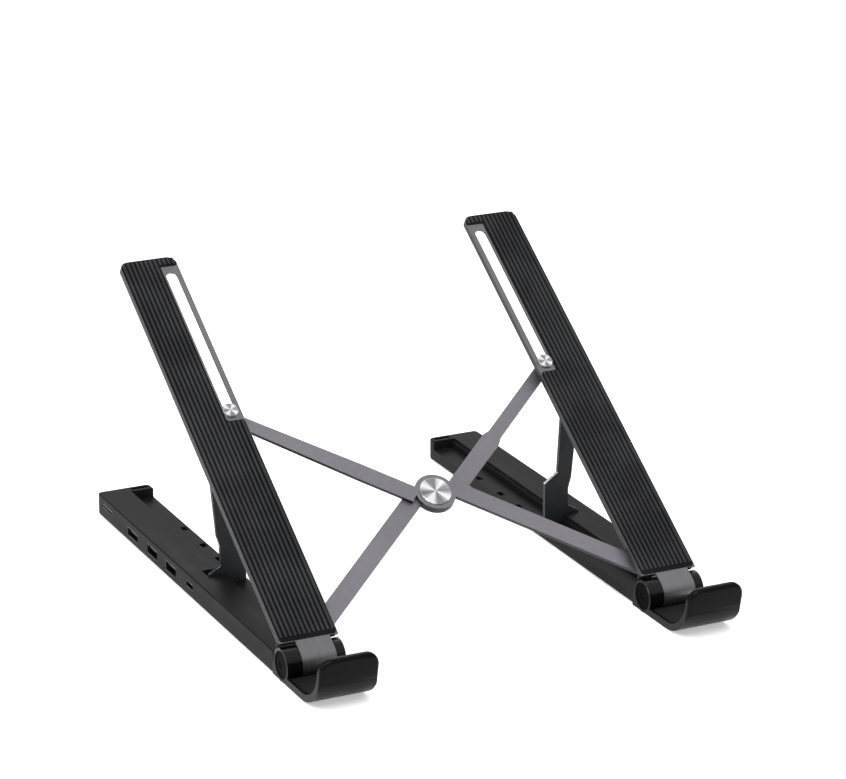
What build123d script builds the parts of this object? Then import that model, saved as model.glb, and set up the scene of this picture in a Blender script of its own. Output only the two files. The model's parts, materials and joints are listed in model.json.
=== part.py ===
from build123d import *
import math
import os

# Folding laptop stand with a port hub in its left base bar.
# Frame: +X to the user's right, +Y to the back, +Z up, millimetres.
# The model is laid out with Y = 0 on the front hinge axis and moved so that the
# origin is the bottom centre of the whole stand when it is written out.
# An arm is built lying flat (its length along Y, its normal along Z, both
# measured from the hinge axis) and then tilted into place.

# ---- driving dimensions -------------------------------------------------
TILT = 33.33                 # arms above the table at the highest setting, degrees
HALF_SPREAD = 92.0           # centre of each side assembly from the middle
SIDE_WIDTH = 28.7            # width of an arm, a hook and a barrel
AXIS_Z = 8.0                 # hinge axis above the table
BARREL_R = 7.8               # outer radius of the hinge barrel
WIDE_RING = 7.4              # width of the left barrel ring
NARROW_RING = 4.2            # width of the right barrel ring
RING_GAP = 0.15              # side play between knuckles
PIN_R = 2.5                  # hinge pin
RUNNING = 0.05               # radial clearance of a running fit

BASE_IN = 78.5               # inner edge of a base bar
BASE_OUT = 106.3             # outer edge of a base bar
BASE_BACK = 230.5            # back end of a base bar
BASE_FRONT = 8.6             # front end of a base bar, behind the barrel
BASE_Z0 = 0.5                # underside of the metal, held up by the rubber feet
BASE_Z1 = 11.6               # raised top of a base bar
SHELF_OUT = 89.2             # edge of the raised top; the brace shelf lies inside it
SHELF_Z = 6.7                # top of the brace shelf
LEDGE_X = (89.1, 90.5)       # thin ledge along the edge of the raised top
LEDGE_DROP = 1.6
END_WALL = 6.3               # length of the full-height back end of a base bar
END_POCKET = (1.8, 4.6)      # rim left round the pocket in that end, and its floor height
WALL = 1.5                   # wall of a base housing
COVER_T = 1.2                # bottom cover
COVER_GAP = 0.1              # room around the bottom cover
SCREW_R = 1.25               # cover screw heads
SCREW_INSET = 5.0            # screws from the outer edge
FOOT_X = (85.0, 99.0)        # strips under each bar, across ...
FOOT_Y = ((204.0, 226.0), (22.0, 44.0))     # ... and along it
HOOK_FOOT_Y = (-20.0, -10.0)                # and one under the hook

ARM_FRONT = 6.1              # arm plate from here ...
ARM_BACK = 232.9             # ... to here, along the arm
PLATE_N0 = 6.8               # underside of the arm plate above the hinge axis
PLATE_N1 = BARREL_R          # top of the arm plate, flush with the barrel
FLANGE_N0 = 5.0              # lower edge of the arm's side flanges
FLANGE_T = 1.2
FRONT_WALL_U = (7.6, 8.3)    # wall that closes the arm's front end behind the barrel
FRONT_WALL_N0 = 3.2          # lower edge of that wall
PAD_N1 = 8.9                 # top of the rubber pad
SLOT_OFFSET = 9.07           # slot centre from the arm's centre, inwards
SLOT_R = 2.8                 # half the slot's width
ARM_CORNER_R = 4.5           # plan radius of the arm's back corners
PAD_RIM = 0.5                # the pad stops this far inside the arm's edge
PAD_CORNER_R = 1.6
PAD_TOP = 227.2              # the pad is full width again beyond this, above the slot
PAD_SPLIT = 130.5            # the pad is narrower beyond this, beside the slot

LINK = 103.1                 # hub centre to either end pivot of a brace bar
LOWER_PIVOT = 14.1           # lower brace pivots along the arm
CLOSED_SPREAD = 29.0         # centre distance of the sides when folded together
BAR_T = 1.7                  # brace bar thickness
BAR_B_N0 = -0.2              # underside of the lower bar
BAR_A_N0 = 1.7               # underside of the upper bar
BAR_W = 9.0                  # bar width
BAR_TIP_W = 6.6              # bar width near the slots
BAR_SHIFT = 6.0              # sideways offset of each half beside the hub
BAR_ROOT = 8.0               # where each half starts, out from the hub
UPPER_TAPER = (0.3, 0.95)    # the slide half narrows between these shares of its length
LOWER_TAPER = (0.42, 0.46)
BOSS_R = 10.0                # round boss at the hub
CAP_R = 8.2                  # spun cap on the hub
CAP_N1 = 4.1                 # top of the cap

STRUT_Y = 102.0              # front face of an upright strut
STRUT_T = 1.8
STRUT_PIVOT_Z = 7.6
STRUT_FOLD_Z = 12.3          # underside of a strut when it lies folded back
STRUT_FOOT = (79.6, 98.5)    # across the foot at its lug
STRUT_LUG_Z = 12.5           # top of the lug
STRUT_SHANK_OUT = 92.6       # outer edge between the lug and the neck
STRUT_NECK = (86.6, 94.2)    # lower end of the neck
STRUT_TONGUE = (89.0, 97.2)  # upper end of the neck
STRUT_SHOULDER_Z = 29.0      # where the wide foot begins to narrow
STRUT_NECK_Z = 34.0          # where the narrow neck begins
STRUT_FLARE_Z = 62.0         # where the neck's outer edge stops flaring
STRUT_TOP = (74.6, 78.8)     # height of the slanted top at its front and back edges
STRUT_PIN_END = 99.9         # outer end of the strut's pivot pin

HOOK_TIP = 26.5              # height of the front hook
HOOK_LEAN = 9.6              # forward lean of the hook, degrees
HOOK_R = 21.0                # outer radius of the hook's bend
HOOK_T = 3.4                 # hook thickness
HOOK_CORNER_Y = -40.2        # where the hook's outer faces would meet
HOOK_SIDE_R = 6.5            # rounded upper corners of the hook, seen from the front
HOOK_RIM_R = 1.9             # rounding of the hook's outer upper rim
LINING_UP = 1.4              # the lining runs this far up the straight part of the hook
LINING_T = 0.7
CAP_DISC_R = 6.6             # discs in the ends of the barrel
CAP_DISC_T = 0.8

NOTCH_Y = (176.6, 152.0, 132.5)             # spare strut notches in the shelf
NOTCH_X = (79.5, 82.5)
NOTCH_HALF = 2.4
NOTCH_DEPTH = 2.3

# ---- values worked out from them ----------------------------------------
PIVOT_X = HALF_SPREAD - SLOT_OFFSET
OPEN_ANGLE = math.degrees(math.asin(PIVOT_X / LINK))
CLOSED_ANGLE = math.degrees(math.asin((CLOSED_SPREAD / 2 - SLOT_OFFSET) / LINK))
HUB_U = LOWER_PIVOT + LINK * math.cos(math.radians(OPEN_ANGLE))
SLIDE_OPEN = LOWER_PIVOT + 2 * LINK * math.cos(math.radians(OPEN_ANGLE))
SLIDE_CLOSED = LOWER_PIVOT + 2 * LINK * math.cos(math.radians(CLOSED_ANGLE))
SIDE_IN = HALF_SPREAD - SIDE_WIDTH / 2
SIDE_OUT = HALF_SPREAD + SIDE_WIDTH / 2
STRUT_PIVOT_Y = STRUT_Y + STRUT_T + STRUT_FOLD_Z - STRUT_PIVOT_Z
HOOK_TOP_Y = HOOK_CORNER_Y - (HOOK_TIP - BASE_Z0) * math.tan(math.radians(HOOK_LEAN))
Y_SHIFT = -(HOOK_TOP_Y + BASE_BACK) / 2
COVER_RECESS = (BASE_IN + 3.6, BASE_OUT - 1.9, 16.0, BASE_BACK - 3.0)

parts = {}


# ---- helpers --------------------------------------------------------------
def block(x0, x1, y0, y1, z0, z1):
    """Box between two corners."""
    size = Box(x1 - x0, y1 - y0, z1 - z0)
    return Pos((x0 + x1) / 2, (y0 + y1) / 2, (z0 + z1) / 2) * size


def disc(x, y, z0, z1, radius):
    """Cylinder standing along Z."""
    return Pos(x, y, (z0 + z1) / 2) * Cylinder(radius, z1 - z0)


def rod(x0, x1, y, z, radius):
    """Cylinder lying along X."""
    return Pos((x0 + x1) / 2, y, z) * Rot(0, 90, 0) * Cylinder(radius, x1 - x0)


def plate(points, z0, z1):
    """Flat outline in X and Y, from z0 up to z1."""
    face = make_face(Polyline(*points, close=True))
    return Pos(0, 0, z0) * extrude(face, amount=z1 - z0)


def side_profile(points, x0, x1):
    """Outline in Y and Z, carried along X."""
    face = make_face(Polyline(*[(0, y, z) for y, z in points], close=True))
    return Pos(x0, 0, 0) * extrude(face, amount=x1 - x0, dir=(1, 0, 0))


def slot(x, y0, y1, z0, z1, radius):
    """Slot along Y with round ends; y0 and y1 are the end centres."""
    body = block(x - radius, x + radius, y0, y1, z0, z1)
    return body + disc(x, y0, z0, z1, radius) + disc(x, y1, z0, z1, radius)


def soften(shape, edges, radius):
    """Fillet of some edges, one group at a time."""
    return fillet(edges, radius) if len(edges) else shape


def vertical_edges(shape, test):
    """Edges along Z whose middle passes a test."""
    return [e for e in shape.edges().filter_by(Axis.Z) if test(e.center())]


def tilted(shape):
    """From the flat arm frame to the raised position."""
    return Pos(0, 0, AXIS_Z) * Rot(TILT, 0, 0) * shape


def other_side(shape):
    """Mirror image across the stand's middle plane."""
    return mirror(shape, about=Plane.YZ)


def keep(name, *solids):
    """Store one node, moved so that the origin is the bottom centre."""
    moved = [Pos(0, Y_SHIFT, 0) * solid for solid in solids]
    parts[name] = moved[0] if len(moved) == 1 else Compound(children=moved)


def on_side(side, shape):
    """Right-hand shapes are drawn; the left hand is their mirror image."""
    return shape if side > 0 else other_side(shape)


# ---- base bars -------------------------------------------------------------
def strut_pocket():
    """Room in the raised top for the foot of the strut."""
    return block(SHELF_OUT, 98.9, STRUT_Y - 0.4, STRUT_PIVOT_Y + 2.1, 5.3, BASE_Z1 + 1)


def base_bar():
    """Housing of the right base bar: raised top, brace shelf and hollow underside."""
    bar = block(BASE_IN, BASE_OUT, BASE_FRONT, BASE_BACK, BASE_Z0, BASE_Z1)
    bar = soften(bar, vertical_edges(bar, lambda c: c.Y > BASE_BACK - 1), 2.5)
    low = bar.edges().group_by(Axis.Z)[0].filter_by(Axis.Y)
    bar = soften(bar, low, 1.0)
    top = [e for e in bar.edges().group_by(Axis.Z)[-1] if e.center().X > BASE_OUT - 0.1]
    bar = soften(bar, top, 0.8)
    end = BASE_BACK - END_WALL
    rim, floor = END_POCKET
    bar -= block(BASE_IN - 1, SHELF_OUT, BASE_FRONT - 1, end, SHELF_Z, BASE_Z1 + 1)
    bar -= block(BASE_IN + rim, SHELF_OUT, end + rim, BASE_BACK - rim, floor, BASE_Z1 + 1)
    bar -= block(*LEDGE_X, BASE_FRONT - 1, end, BASE_Z1 - LEDGE_DROP, BASE_Z1 + 1)
    for y in NOTCH_Y:
        bar -= block(*NOTCH_X, y - NOTCH_HALF, y + NOTCH_HALF, SHELF_Z - NOTCH_DEPTH, SHELF_Z + 1)
    cover_top = BASE_Z0 + COVER_T
    bar -= block(*COVER_RECESS, BASE_Z0 - 1, cover_top)
    for y0, y1 in ((20.0, STRUT_Y - 3.0), (STRUT_PIVOT_Y + 4.6, BASE_BACK - 14.0)):
        bar -= block(SHELF_OUT + 3.0, BASE_OUT - WALL, y0, y1, cover_top - 0.1, BASE_Z1 - WALL)
        bar -= block(BASE_IN + 6.9, SHELF_OUT + 3.1, y0, y1, cover_top - 0.1, SHELF_Z - WALL - 1.2)
    bar -= strut_pocket()
    ear = rod(SHELF_OUT, SHELF_OUT + 1.2, STRUT_PIVOT_Y, STRUT_PIVOT_Z, 3.6)
    return bar + ear - rod(SHELF_OUT - 1, STRUT_PIN_END, STRUT_PIVOT_Y, STRUT_PIVOT_Z, 1.0)


def cover_and_screws():
    """Bottom cover of the right base bar and the three screws that hold it."""
    inner, outer, front, back = COVER_RECESS
    cover = block(
        inner + COVER_GAP, outer - COVER_GAP, front + COVER_GAP, back - COVER_GAP,
        BASE_Z0, BASE_Z0 + COVER_T - 0.05,
    )
    screws = []
    for y in (front + 2.0, STRUT_PIVOT_Y - 2.5, back - 2.5):
        x = BASE_OUT - SCREW_INSET
        cover -= disc(x, y, BASE_Z0 - 1, BASE_Z0 + 3, SCREW_R + 0.05)
        head = disc(x, y, BASE_Z0 + 0.15, BASE_Z0 + 1.1, SCREW_R)
        screws.append(head - disc(x, y, BASE_Z0, BASE_Z0 + 0.6, 0.5))
    return cover, screws


def hook_profile(inset):
    """Side outline of the front hook; inset 0 is the metal's own outline."""
    lean = math.radians(HOOK_LEAN)
    turn = math.radians(90 - HOOK_LEAN)
    centre_y = HOOK_CORNER_Y + HOOK_R * math.tan(turn / 2)
    centre_z = BASE_Z0 + HOOK_R
    steps = 14
    outer = []
    inner = []
    for i in range(steps + 1):
        angle = -math.pi / 2 - turn * i / steps
        outer.append((centre_y + HOOK_R * math.cos(angle), centre_z + HOOK_R * math.sin(angle)))
        radius = HOOK_R - HOOK_T
        inner.append((centre_y + radius * math.cos(angle), centre_z + radius * math.sin(angle)))
    top_outer = (HOOK_TOP_Y, HOOK_TIP)
    top_inner = (HOOK_TOP_Y + HOOK_T / math.cos(lean), HOOK_TIP)
    if inset:
        return inner, top_inner
    start = [(-1.0, BASE_Z0 + HOOK_T), (-1.0, BASE_Z0)]
    return start + outer + [top_outer, top_inner] + inner[::-1]


def hook(x0, x1):
    """J-shaped front hook with rounded upper corners."""
    body = side_profile(hook_profile(0), x0, x1)
    window = block(x0, x1, -60, 5, -5, HOOK_TIP)
    corners = window.edges().filter_by(Axis.Y).group_by(Axis.Z)[-1]
    body = body & fillet(corners, HOOK_SIDE_R)
    face_y = HOOK_TOP_Y + HOOK_T / 2
    rim = [e for e in body.edges() if e.center().Z > HOOK_TIP - HOOK_SIDE_R and e.center().Y < face_y]
    return soften(body, [e for e in rim if abs(e.tangent_at(0.5).Y) < 0.5], HOOK_RIM_R)


def hook_lining(x0, x1):
    """Thin soft lining stuck to the inside of the hook."""
    inner, top = hook_profile(1)
    lean = math.radians(HOOK_LEAN)
    end = (inner[-1][0] - math.sin(lean) * LINING_UP, inner[-1][1] + math.cos(lean) * LINING_UP)
    thick = LINING_T
    centre_y = inner[0][0]
    centre_z = BASE_Z0 + HOOK_R
    scale = (HOOK_R - HOOK_T - thick) / (HOOK_R - HOOK_T)
    face = [(centre_y + (y - centre_y) * scale, centre_z + (z - centre_z) * scale) for y, z in inner]
    face_end = (end[0] + thick * math.cos(lean), end[1] + thick * math.sin(lean))
    front = [(-9.0, BASE_Z0 + HOOK_T)] + inner + [end, face_end] + face[::-1]
    return side_profile(front + [(-9.0, BASE_Z0 + HOOK_T + thick)], x0 + 1.2, x1 - 1.2)


def barrel_spans(x0):
    """X ranges of the wide ring, the arm knuckle and the narrow ring."""
    wide = (x0, x0 + WIDE_RING)
    narrow = (x0 + SIDE_WIDTH - NARROW_RING, x0 + SIDE_WIDTH)
    knuckle = (wide[1] + RING_GAP, narrow[0] - RING_GAP)
    return wide, knuckle, narrow


def base_front(x0):
    """Barrel rings and hook that stand in front of a base bar."""
    wide, knuckle, narrow = barrel_spans(x0)
    front = hook(x0, x0 + SIDE_WIDTH)
    front -= rod(knuckle[0] - RING_GAP, knuckle[1] + RING_GAP, 0, AXIS_Z, BARREL_R + 0.35)
    for a, b in (wide, narrow):
        front += rod(a, b, 0, AXIS_Z, BARREL_R)
        front += block(a, b, 0, BASE_FRONT + 0.5, BASE_Z0, AXIS_Z - 1.0)
    front += block(x0 + 3.2, x0 + SIDE_WIDTH - 3.0, BASE_FRONT - 0.2, BASE_FRONT + 0.6, BASE_Z0, AXIS_Z - 1.0)
    bore = rod(x0 + 1.5, x0 + SIDE_WIDTH - 1.5, 0, AXIS_Z, PIN_R)
    caps = rod(x0 - 1, x0 + CAP_DISC_T, 0, AXIS_Z, CAP_DISC_R)
    caps += rod(x0 + SIDE_WIDTH - CAP_DISC_T, x0 + SIDE_WIDTH + 1, 0, AXIS_Z, CAP_DISC_R)
    return front - bore - caps


def hinge_caps(x0):
    """Discs that close the two ends of the barrel."""
    proud = 0.05
    x1 = x0 + SIDE_WIDTH
    ends = ((x0 - proud, x0 + CAP_DISC_T), (x1 - CAP_DISC_T, x1 + proud))
    return [rod(a, b, 0, AXIS_Z, CAP_DISC_R) for a, b in ends]


# ---- hub electronics --------------------------------------------------------
SOCKETS = {
    "card_reader_socket": dict(y=216.8, width=14.0, z=6.9, height=2.0, depth=15.0, tongue=0),
    "hdmi_socket": dict(y=182.4, width=14.6, z=5.6, height=4.6, depth=11.0, tongue=0.9),
    "usb_a_socket_back": dict(y=156.2, width=13.8, z=5.9, height=5.2, depth=13.0, tongue=1.5),
    "usb_a_socket_front": dict(y=132.2, width=13.8, z=5.9, height=5.2, depth=13.0, tongue=1.5),
    "usb_c_socket": dict(y=108.5, width=9.4, z=6.2, height=3.2, depth=6.0, tongue=0.7),
}
SHELL_T = 0.35


def socket_body(y, width, z, height, depth, tongue, grow=0.0):
    """Outer block of a connector, in right-hand coordinates."""
    half_w = width / 2 + grow
    half_h = height / 2 + grow
    mouth = BASE_OUT - 0.15 + 5 * grow
    return block(BASE_OUT - depth, mouth, y - half_w, y + half_w, z - half_h, z + half_h)


def socket(y, width, z, height, depth, tongue):
    """Metal connector shell with its contact tongue."""
    body = socket_body(y, width, z, height, depth, tongue)
    inner = block(
        BASE_OUT - depth + 1.0, BASE_OUT + 1,
        y - width / 2 + SHELL_T, y + width / 2 - SHELL_T,
        z - height / 2 + SHELL_T, z + height / 2 - SHELL_T,
    )
    body -= inner
    if tongue:
        rise = 0.8 if tongue > 1 else 0.0
        body += block(
            BASE_OUT - depth + 0.5, BASE_OUT - 1.4,
            y - width / 2 + 1.3, y + width / 2 - 1.3,
            z + rise - tongue / 2, z + rise + tongue / 2,
        )
    return body


# ---- arms -------------------------------------------------------------------
def arm_plate():
    """Right arm plate in the flat frame, without its knuckle."""
    arm = block(SIDE_IN, SIDE_OUT, ARM_FRONT, ARM_BACK, FLANGE_N0, PLATE_N1)
    arm = soften(arm, vertical_edges(arm, lambda c: c.Y > ARM_BACK - 1), ARM_CORNER_R)
    hollow = block(
        SIDE_IN + FLANGE_T, SIDE_OUT - FLANGE_T,
        ARM_FRONT - 1, ARM_BACK - FLANGE_T, FLANGE_N0 - 1, PLATE_N0,
    )
    back_corners = vertical_edges(hollow, lambda c: c.Y > ARM_BACK - FLANGE_T - 1)
    arm -= soften(hollow, back_corners, ARM_CORNER_R - FLANGE_T)
    slot_x = HALF_SPREAD - SLOT_OFFSET
    arm -= slot(slot_x, SLIDE_OPEN - 0.3, SLIDE_CLOSED + 0.3, PLATE_N0 - 1, PLATE_N1 + 1, SLOT_R)
    arm -= block(SIDE_IN - 1, SIDE_OUT + 1, ARM_FRONT - 1, FRONT_WALL_U[1], FLANGE_N0 - 1, PLATE_N0)
    arm += block(SIDE_IN, SIDE_OUT, *FRONT_WALL_U, FRONT_WALL_N0, PLATE_N0 + 0.1)
    return arm - disc(slot_x, LOWER_PIVOT, PLATE_N0 - 1, PLATE_N1 + 1, 1.6)


def arm_knuckle(x0):
    """Central barrel knuckle and the web that joins it to the plate."""
    knuckle = barrel_spans(x0)[1]
    body = rod(knuckle[0], knuckle[1], 0, 0, BARREL_R)
    body += block(knuckle[0], knuckle[1], 0, ARM_FRONT + 2, PLATE_N0 - 3.6, PLATE_N1)
    return body - rod(knuckle[0] - 1, knuckle[1] + 1, 0, 0, PIN_R + RUNNING)


def arm_pad():
    """Rubber pad on the right arm, cut out around the slot."""
    edge = HALF_SPREAD - SLOT_OFFSET + SLOT_R + 1.1
    inner = SIDE_IN + PAD_RIM
    outer = SIDE_OUT - PAD_RIM
    front = ARM_FRONT + PAD_RIM
    back = ARM_BACK - PAD_RIM
    outline = [
        (inner, front), (outer, front), (outer, back), (inner, back),
        (inner, PAD_TOP), (edge, PAD_TOP), (edge, PAD_SPLIT), (inner, PAD_SPLIT),
    ]
    pad = plate(outline, PLATE_N1, PAD_N1)
    pad = soften(pad, vertical_edges(pad, lambda c: c.Y > back - 1), ARM_CORNER_R - PAD_RIM)
    pad = soften(pad, vertical_edges(pad, lambda c: c.Y < PAD_SPLIT + 1), PAD_CORNER_R)
    return soften(pad, vertical_edges(pad, lambda c: abs(c.Y - PAD_TOP) < 0.1), PAD_CORNER_R / 2)


# ---- brace -------------------------------------------------------------------
def along(start, finish, share):
    """Point between two others."""
    return [s + (f - s) * share for s, f in zip(start, finish)]


def bar_half(end, stations):
    """Plan of one half of a bar; stations are (share of the half's length, width)."""
    start = (end * BAR_ROOT, end * BAR_SHIFT)
    finish = (end * LINK, 0.0)
    angle = math.atan2(finish[1] - start[1], finish[0] - start[0])
    upper = []
    lower = []
    for share, width in stations:
        x, y = along(start, finish, share)
        across = (-math.sin(angle) * width / 2, math.cos(angle) * width / 2)
        upper.append((x + across[0], y + across[1]))
        lower.append((x - across[0], y - across[1]))
    return upper + lower[::-1]


def brace_bar(n0, taper):
    """Dog-legged bar in its own frame: hub at the origin, slide end at -X.

    The slide half narrows between the two shares of its length given by taper.
    """
    n1 = n0 + BAR_T
    slide_half = bar_half(-1, ((0.0, BAR_W), (taper[0], BAR_W), (taper[1], BAR_TIP_W), (1.0, BAR_TIP_W)))
    pivot_half = bar_half(1, ((0.0, BAR_W), (1.0, BAR_W)))
    bar = disc(0, 0, n0, n1, BOSS_R) + plate(slide_half, n0, n1) + plate(pivot_half, n0, n1)
    return bar + disc(-LINK, 0, n0, n1, BAR_TIP_W / 2) + disc(LINK, 0, n0, n1, BAR_W / 2)


def place_bar(shape):
    """Turn a bar from its own frame to the open position, in the flat arm frame."""
    return Pos(0, HUB_U, 0) * Rot(0, 0, OPEN_ANGLE - 90) * shape


def build_left_and_right():
    """Every node of the two side assemblies."""
    for side, name in ((-1, "left"), (1, "right")):
        x0 = SIDE_IN if side > 0 else -SIDE_OUT
        housing = on_side(side, base_bar()) + base_front(x0)
        if side < 0:
            for size in SOCKETS.values():
                housing -= other_side(socket_body(**size, grow=0.08))
        cover, screws = cover_and_screws()
        keep(f"{name}_base_housing", housing)
        keep(f"{name}_bottom_cover", on_side(side, cover))
        keep(f"{name}_cover_screws", *[on_side(side, screw) for screw in screws])
        feet = [on_side(side, block(*FOOT_X, y0, y1, 0.0, BASE_Z0)) for y0, y1 in FOOT_Y]
        feet.append(block(x0 + 4, x0 + SIDE_WIDTH - 4, *HOOK_FOOT_Y, 0.0, BASE_Z0))
        keep(f"{name}_rubber_feet", *feet)
        keep(f"{name}_hinge_pin", rod(x0 + 1.5, x0 + SIDE_WIDTH - 1.5, 0, AXIS_Z, PIN_R))
        keep(f"{name}_hinge_caps", *hinge_caps(x0))
        keep(f"{name}_hook_lining", hook_lining(x0, x0 + SIDE_WIDTH))
        keep(f"{name}_arm_plate", tilted(on_side(side, arm_plate()) + arm_knuckle(x0)))
        keep(f"{name}_arm_pad", tilted(on_side(side, arm_pad())))
        keep(f"{name}_strut", on_side(side, strut()))
        pin = rod(SHELF_OUT, STRUT_PIN_END, STRUT_PIVOT_Y, STRUT_PIVOT_Z, 1.0)
        keep(f"{name}_strut_pin", on_side(side, pin))


def strut():
    """Upright strut on the right: wide foot, sloped shoulder, narrow neck and tongue."""
    back = STRUT_Y + STRUT_T
    front_top, back_top = STRUT_TOP
    foot_z = SHELF_Z + 0.4
    outline = [
        (STRUT_FOOT[0], foot_z), (STRUT_FOOT[1], foot_z), (STRUT_FOOT[1], STRUT_LUG_Z),
        (STRUT_SHANK_OUT, STRUT_LUG_Z + 3.5), (STRUT_SHANK_OUT, STRUT_SHOULDER_Z - 4),
        (STRUT_NECK[1], STRUT_NECK_Z - 3.5), (STRUT_TONGUE[1], STRUT_FLARE_Z),
        (STRUT_TONGUE[1], back_top), (STRUT_TONGUE[0], back_top), (STRUT_NECK[0], STRUT_NECK_Z),
        (STRUT_FOOT[0], STRUT_SHOULDER_Z),
    ]
    face = make_face(Polyline(*[(x, back, z) for x, z in outline], close=True))
    body = extrude(face, amount=STRUT_T, dir=(0, -1, 0))
    slant = [
        (STRUT_Y - 1, front_top), (STRUT_Y, front_top), (back, back_top),
        (back, back_top + 5), (STRUT_Y - 1, back_top + 5),
    ]
    body -= side_profile(slant, STRUT_TONGUE[0] - 1, STRUT_TONGUE[1] + 1)
    lug = block(
        SHELF_OUT + 1.5, STRUT_FOOT[1],
        STRUT_Y + 0.5, STRUT_PIVOT_Y, STRUT_PIVOT_Z - 0.5, STRUT_PIVOT_Z + 1.8,
    )
    lug += rod(SHELF_OUT + 1.5, STRUT_FOOT[1], STRUT_PIVOT_Y, STRUT_PIVOT_Z, 1.8)
    body += lug
    return body - rod(SHELF_OUT, 99, STRUT_PIVOT_Y, STRUT_PIVOT_Z, 1.0 + RUNNING)


def build_hub_electronics():
    """Circuit board and sockets inside the left base bar."""
    board = block(SHELF_OUT + 3.3, BASE_OUT - 2.2, STRUT_PIVOT_Y + 5.0, BASE_BACK - 14.6, 1.9, 3.0)
    keep("hub_circuit_board", other_side(board))
    for name, size in SOCKETS.items():
        keep(name, other_side(socket(**size)))


def build_brace():
    """The two bars, their rivets and the capped hub pivot."""
    bar_a = brace_bar(BAR_A_N0, UPPER_TAPER)
    bar_b = brace_bar(BAR_B_N0, LOWER_TAPER)
    a_top = BAR_A_N0 + BAR_T
    b_top = BAR_B_N0 + BAR_T
    pivot_r = 1.6
    slide_r = 2.0
    end_holes = disc(-LINK, 0, -5, 10, slide_r) + disc(LINK, 0, -5, 10, pivot_r + RUNNING)
    bar_a -= disc(0, 0, -5, 10, PIN_R) + end_holes
    bar_b -= disc(0, 0, -5, 10, PIN_R + RUNNING) + end_holes
    keep("upper_brace_bar", tilted(place_bar(bar_a)))
    keep("lower_brace_bar", tilted(other_side(place_bar(bar_b))))
    washer = disc(0, HUB_U, b_top + 0.02, BAR_A_N0, 6.0) - disc(0, HUB_U, -5, 10, PIN_R)
    keep("hub_washer", tilted(washer))
    rivet = disc(0, HUB_U, BAR_B_N0 - 0.05, a_top, PIN_R)
    rivet += disc(0, HUB_U, BAR_B_N0 - 0.6, BAR_B_N0 - 0.05, 4.5)
    keep("hub_rivet", tilted(rivet))
    cap = disc(0, HUB_U, a_top, CAP_N1, CAP_R)
    cap = chamfer(cap.edges().group_by(Axis.Z)[-1], 0.3)
    keep("hub_cap", tilted(cap))
    head_top = PAD_N1 - 0.1
    head_bottom = PLATE_N1 + 0.05
    for name, x, n0, n1 in (("upper", -PIVOT_X, BAR_A_N0, a_top), ("lower", PIVOT_X, BAR_B_N0, b_top)):
        shank = disc(x, SLIDE_OPEN, n0, PLATE_N0, slide_r)
        shank += disc(x, SLIDE_OPEN, PLATE_N0 - 0.4, head_bottom, SLOT_R - 0.12)
        head = disc(x, SLIDE_OPEN, head_bottom, head_top, 3.9)
        head = chamfer(head.edges().group_by(Axis.Z)[-1], 0.35)
        spacer = disc(x, SLIDE_OPEN, n1, PLATE_N0 - 0.45, 3.1) - disc(x, SLIDE_OPEN, -5, 10, slide_r)
        keep(f"{name}_slide_rivet", tilted(shank + head))
        keep(f"{name}_slide_spacer", tilted(spacer))
    for name, x, n0, n1 in (("left", -PIVOT_X, BAR_B_N0, b_top), ("right", PIVOT_X, BAR_A_N0, a_top)):
        rivet = disc(x, LOWER_PIVOT, n0 - 0.05, PLATE_N1 - 0.05, pivot_r)
        rivet += disc(x, LOWER_PIVOT, n0 - 0.65, n0 - 0.05, 3.2)
        spacer = disc(x, LOWER_PIVOT, n1 + 0.05, PLATE_N0, 3.4) - disc(x, LOWER_PIVOT, -5, 10, pivot_r)
        keep(f"{name}_pivot_rivet", tilted(rivet))
        keep(f"{name}_pivot_spacer", tilted(spacer))


build_left_and_right()
build_hub_electronics()
build_brace()

os.makedirs("parts", exist_ok=True)
for node, shape in parts.items():
    export_step(shape, f"parts/{node}.step")
whole = Compound(children=list(parts.values())).bounding_box()
print("nodes", len(parts), "low", whole.min, "high", whole.max)
print("tilt axis", (0, Y_SHIFT, AXIS_Z), "strut pivot", (STRUT_PIVOT_Y + Y_SHIFT, STRUT_PIVOT_Z))
print("fold angle", OPEN_ANGLE - CLOSED_ANGLE, "hub along arm", HUB_U, "slides", SLIDE_OPEN, SLIDE_CLOSED)
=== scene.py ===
import json
import logging
import math
from dataclasses import dataclass, field
from enum import Enum
from typing import Callable, Iterable, Mapping, Sequence

import bmesh
import bpy
from mathutils import Matrix, Vector

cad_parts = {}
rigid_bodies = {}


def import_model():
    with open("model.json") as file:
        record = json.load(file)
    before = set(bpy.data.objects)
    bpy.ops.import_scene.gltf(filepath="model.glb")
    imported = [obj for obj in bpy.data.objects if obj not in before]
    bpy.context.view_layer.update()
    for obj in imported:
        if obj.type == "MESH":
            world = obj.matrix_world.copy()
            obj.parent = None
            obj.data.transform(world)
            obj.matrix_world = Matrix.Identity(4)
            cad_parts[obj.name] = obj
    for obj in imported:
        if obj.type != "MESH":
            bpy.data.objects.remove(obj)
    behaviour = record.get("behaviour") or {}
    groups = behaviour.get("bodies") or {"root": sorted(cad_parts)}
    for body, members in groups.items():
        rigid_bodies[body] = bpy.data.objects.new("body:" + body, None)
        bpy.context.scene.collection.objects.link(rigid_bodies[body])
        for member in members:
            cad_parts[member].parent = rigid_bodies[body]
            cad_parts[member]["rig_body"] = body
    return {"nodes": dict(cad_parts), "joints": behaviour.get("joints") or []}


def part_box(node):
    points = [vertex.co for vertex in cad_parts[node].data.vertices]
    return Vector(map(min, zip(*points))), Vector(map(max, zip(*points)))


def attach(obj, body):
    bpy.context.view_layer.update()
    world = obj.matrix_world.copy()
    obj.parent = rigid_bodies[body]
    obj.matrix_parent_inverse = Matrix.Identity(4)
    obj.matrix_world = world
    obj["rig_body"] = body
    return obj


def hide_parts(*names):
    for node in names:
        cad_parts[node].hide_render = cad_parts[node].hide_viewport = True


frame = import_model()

LOG = logging.getLogger("laptop_stand")
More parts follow.
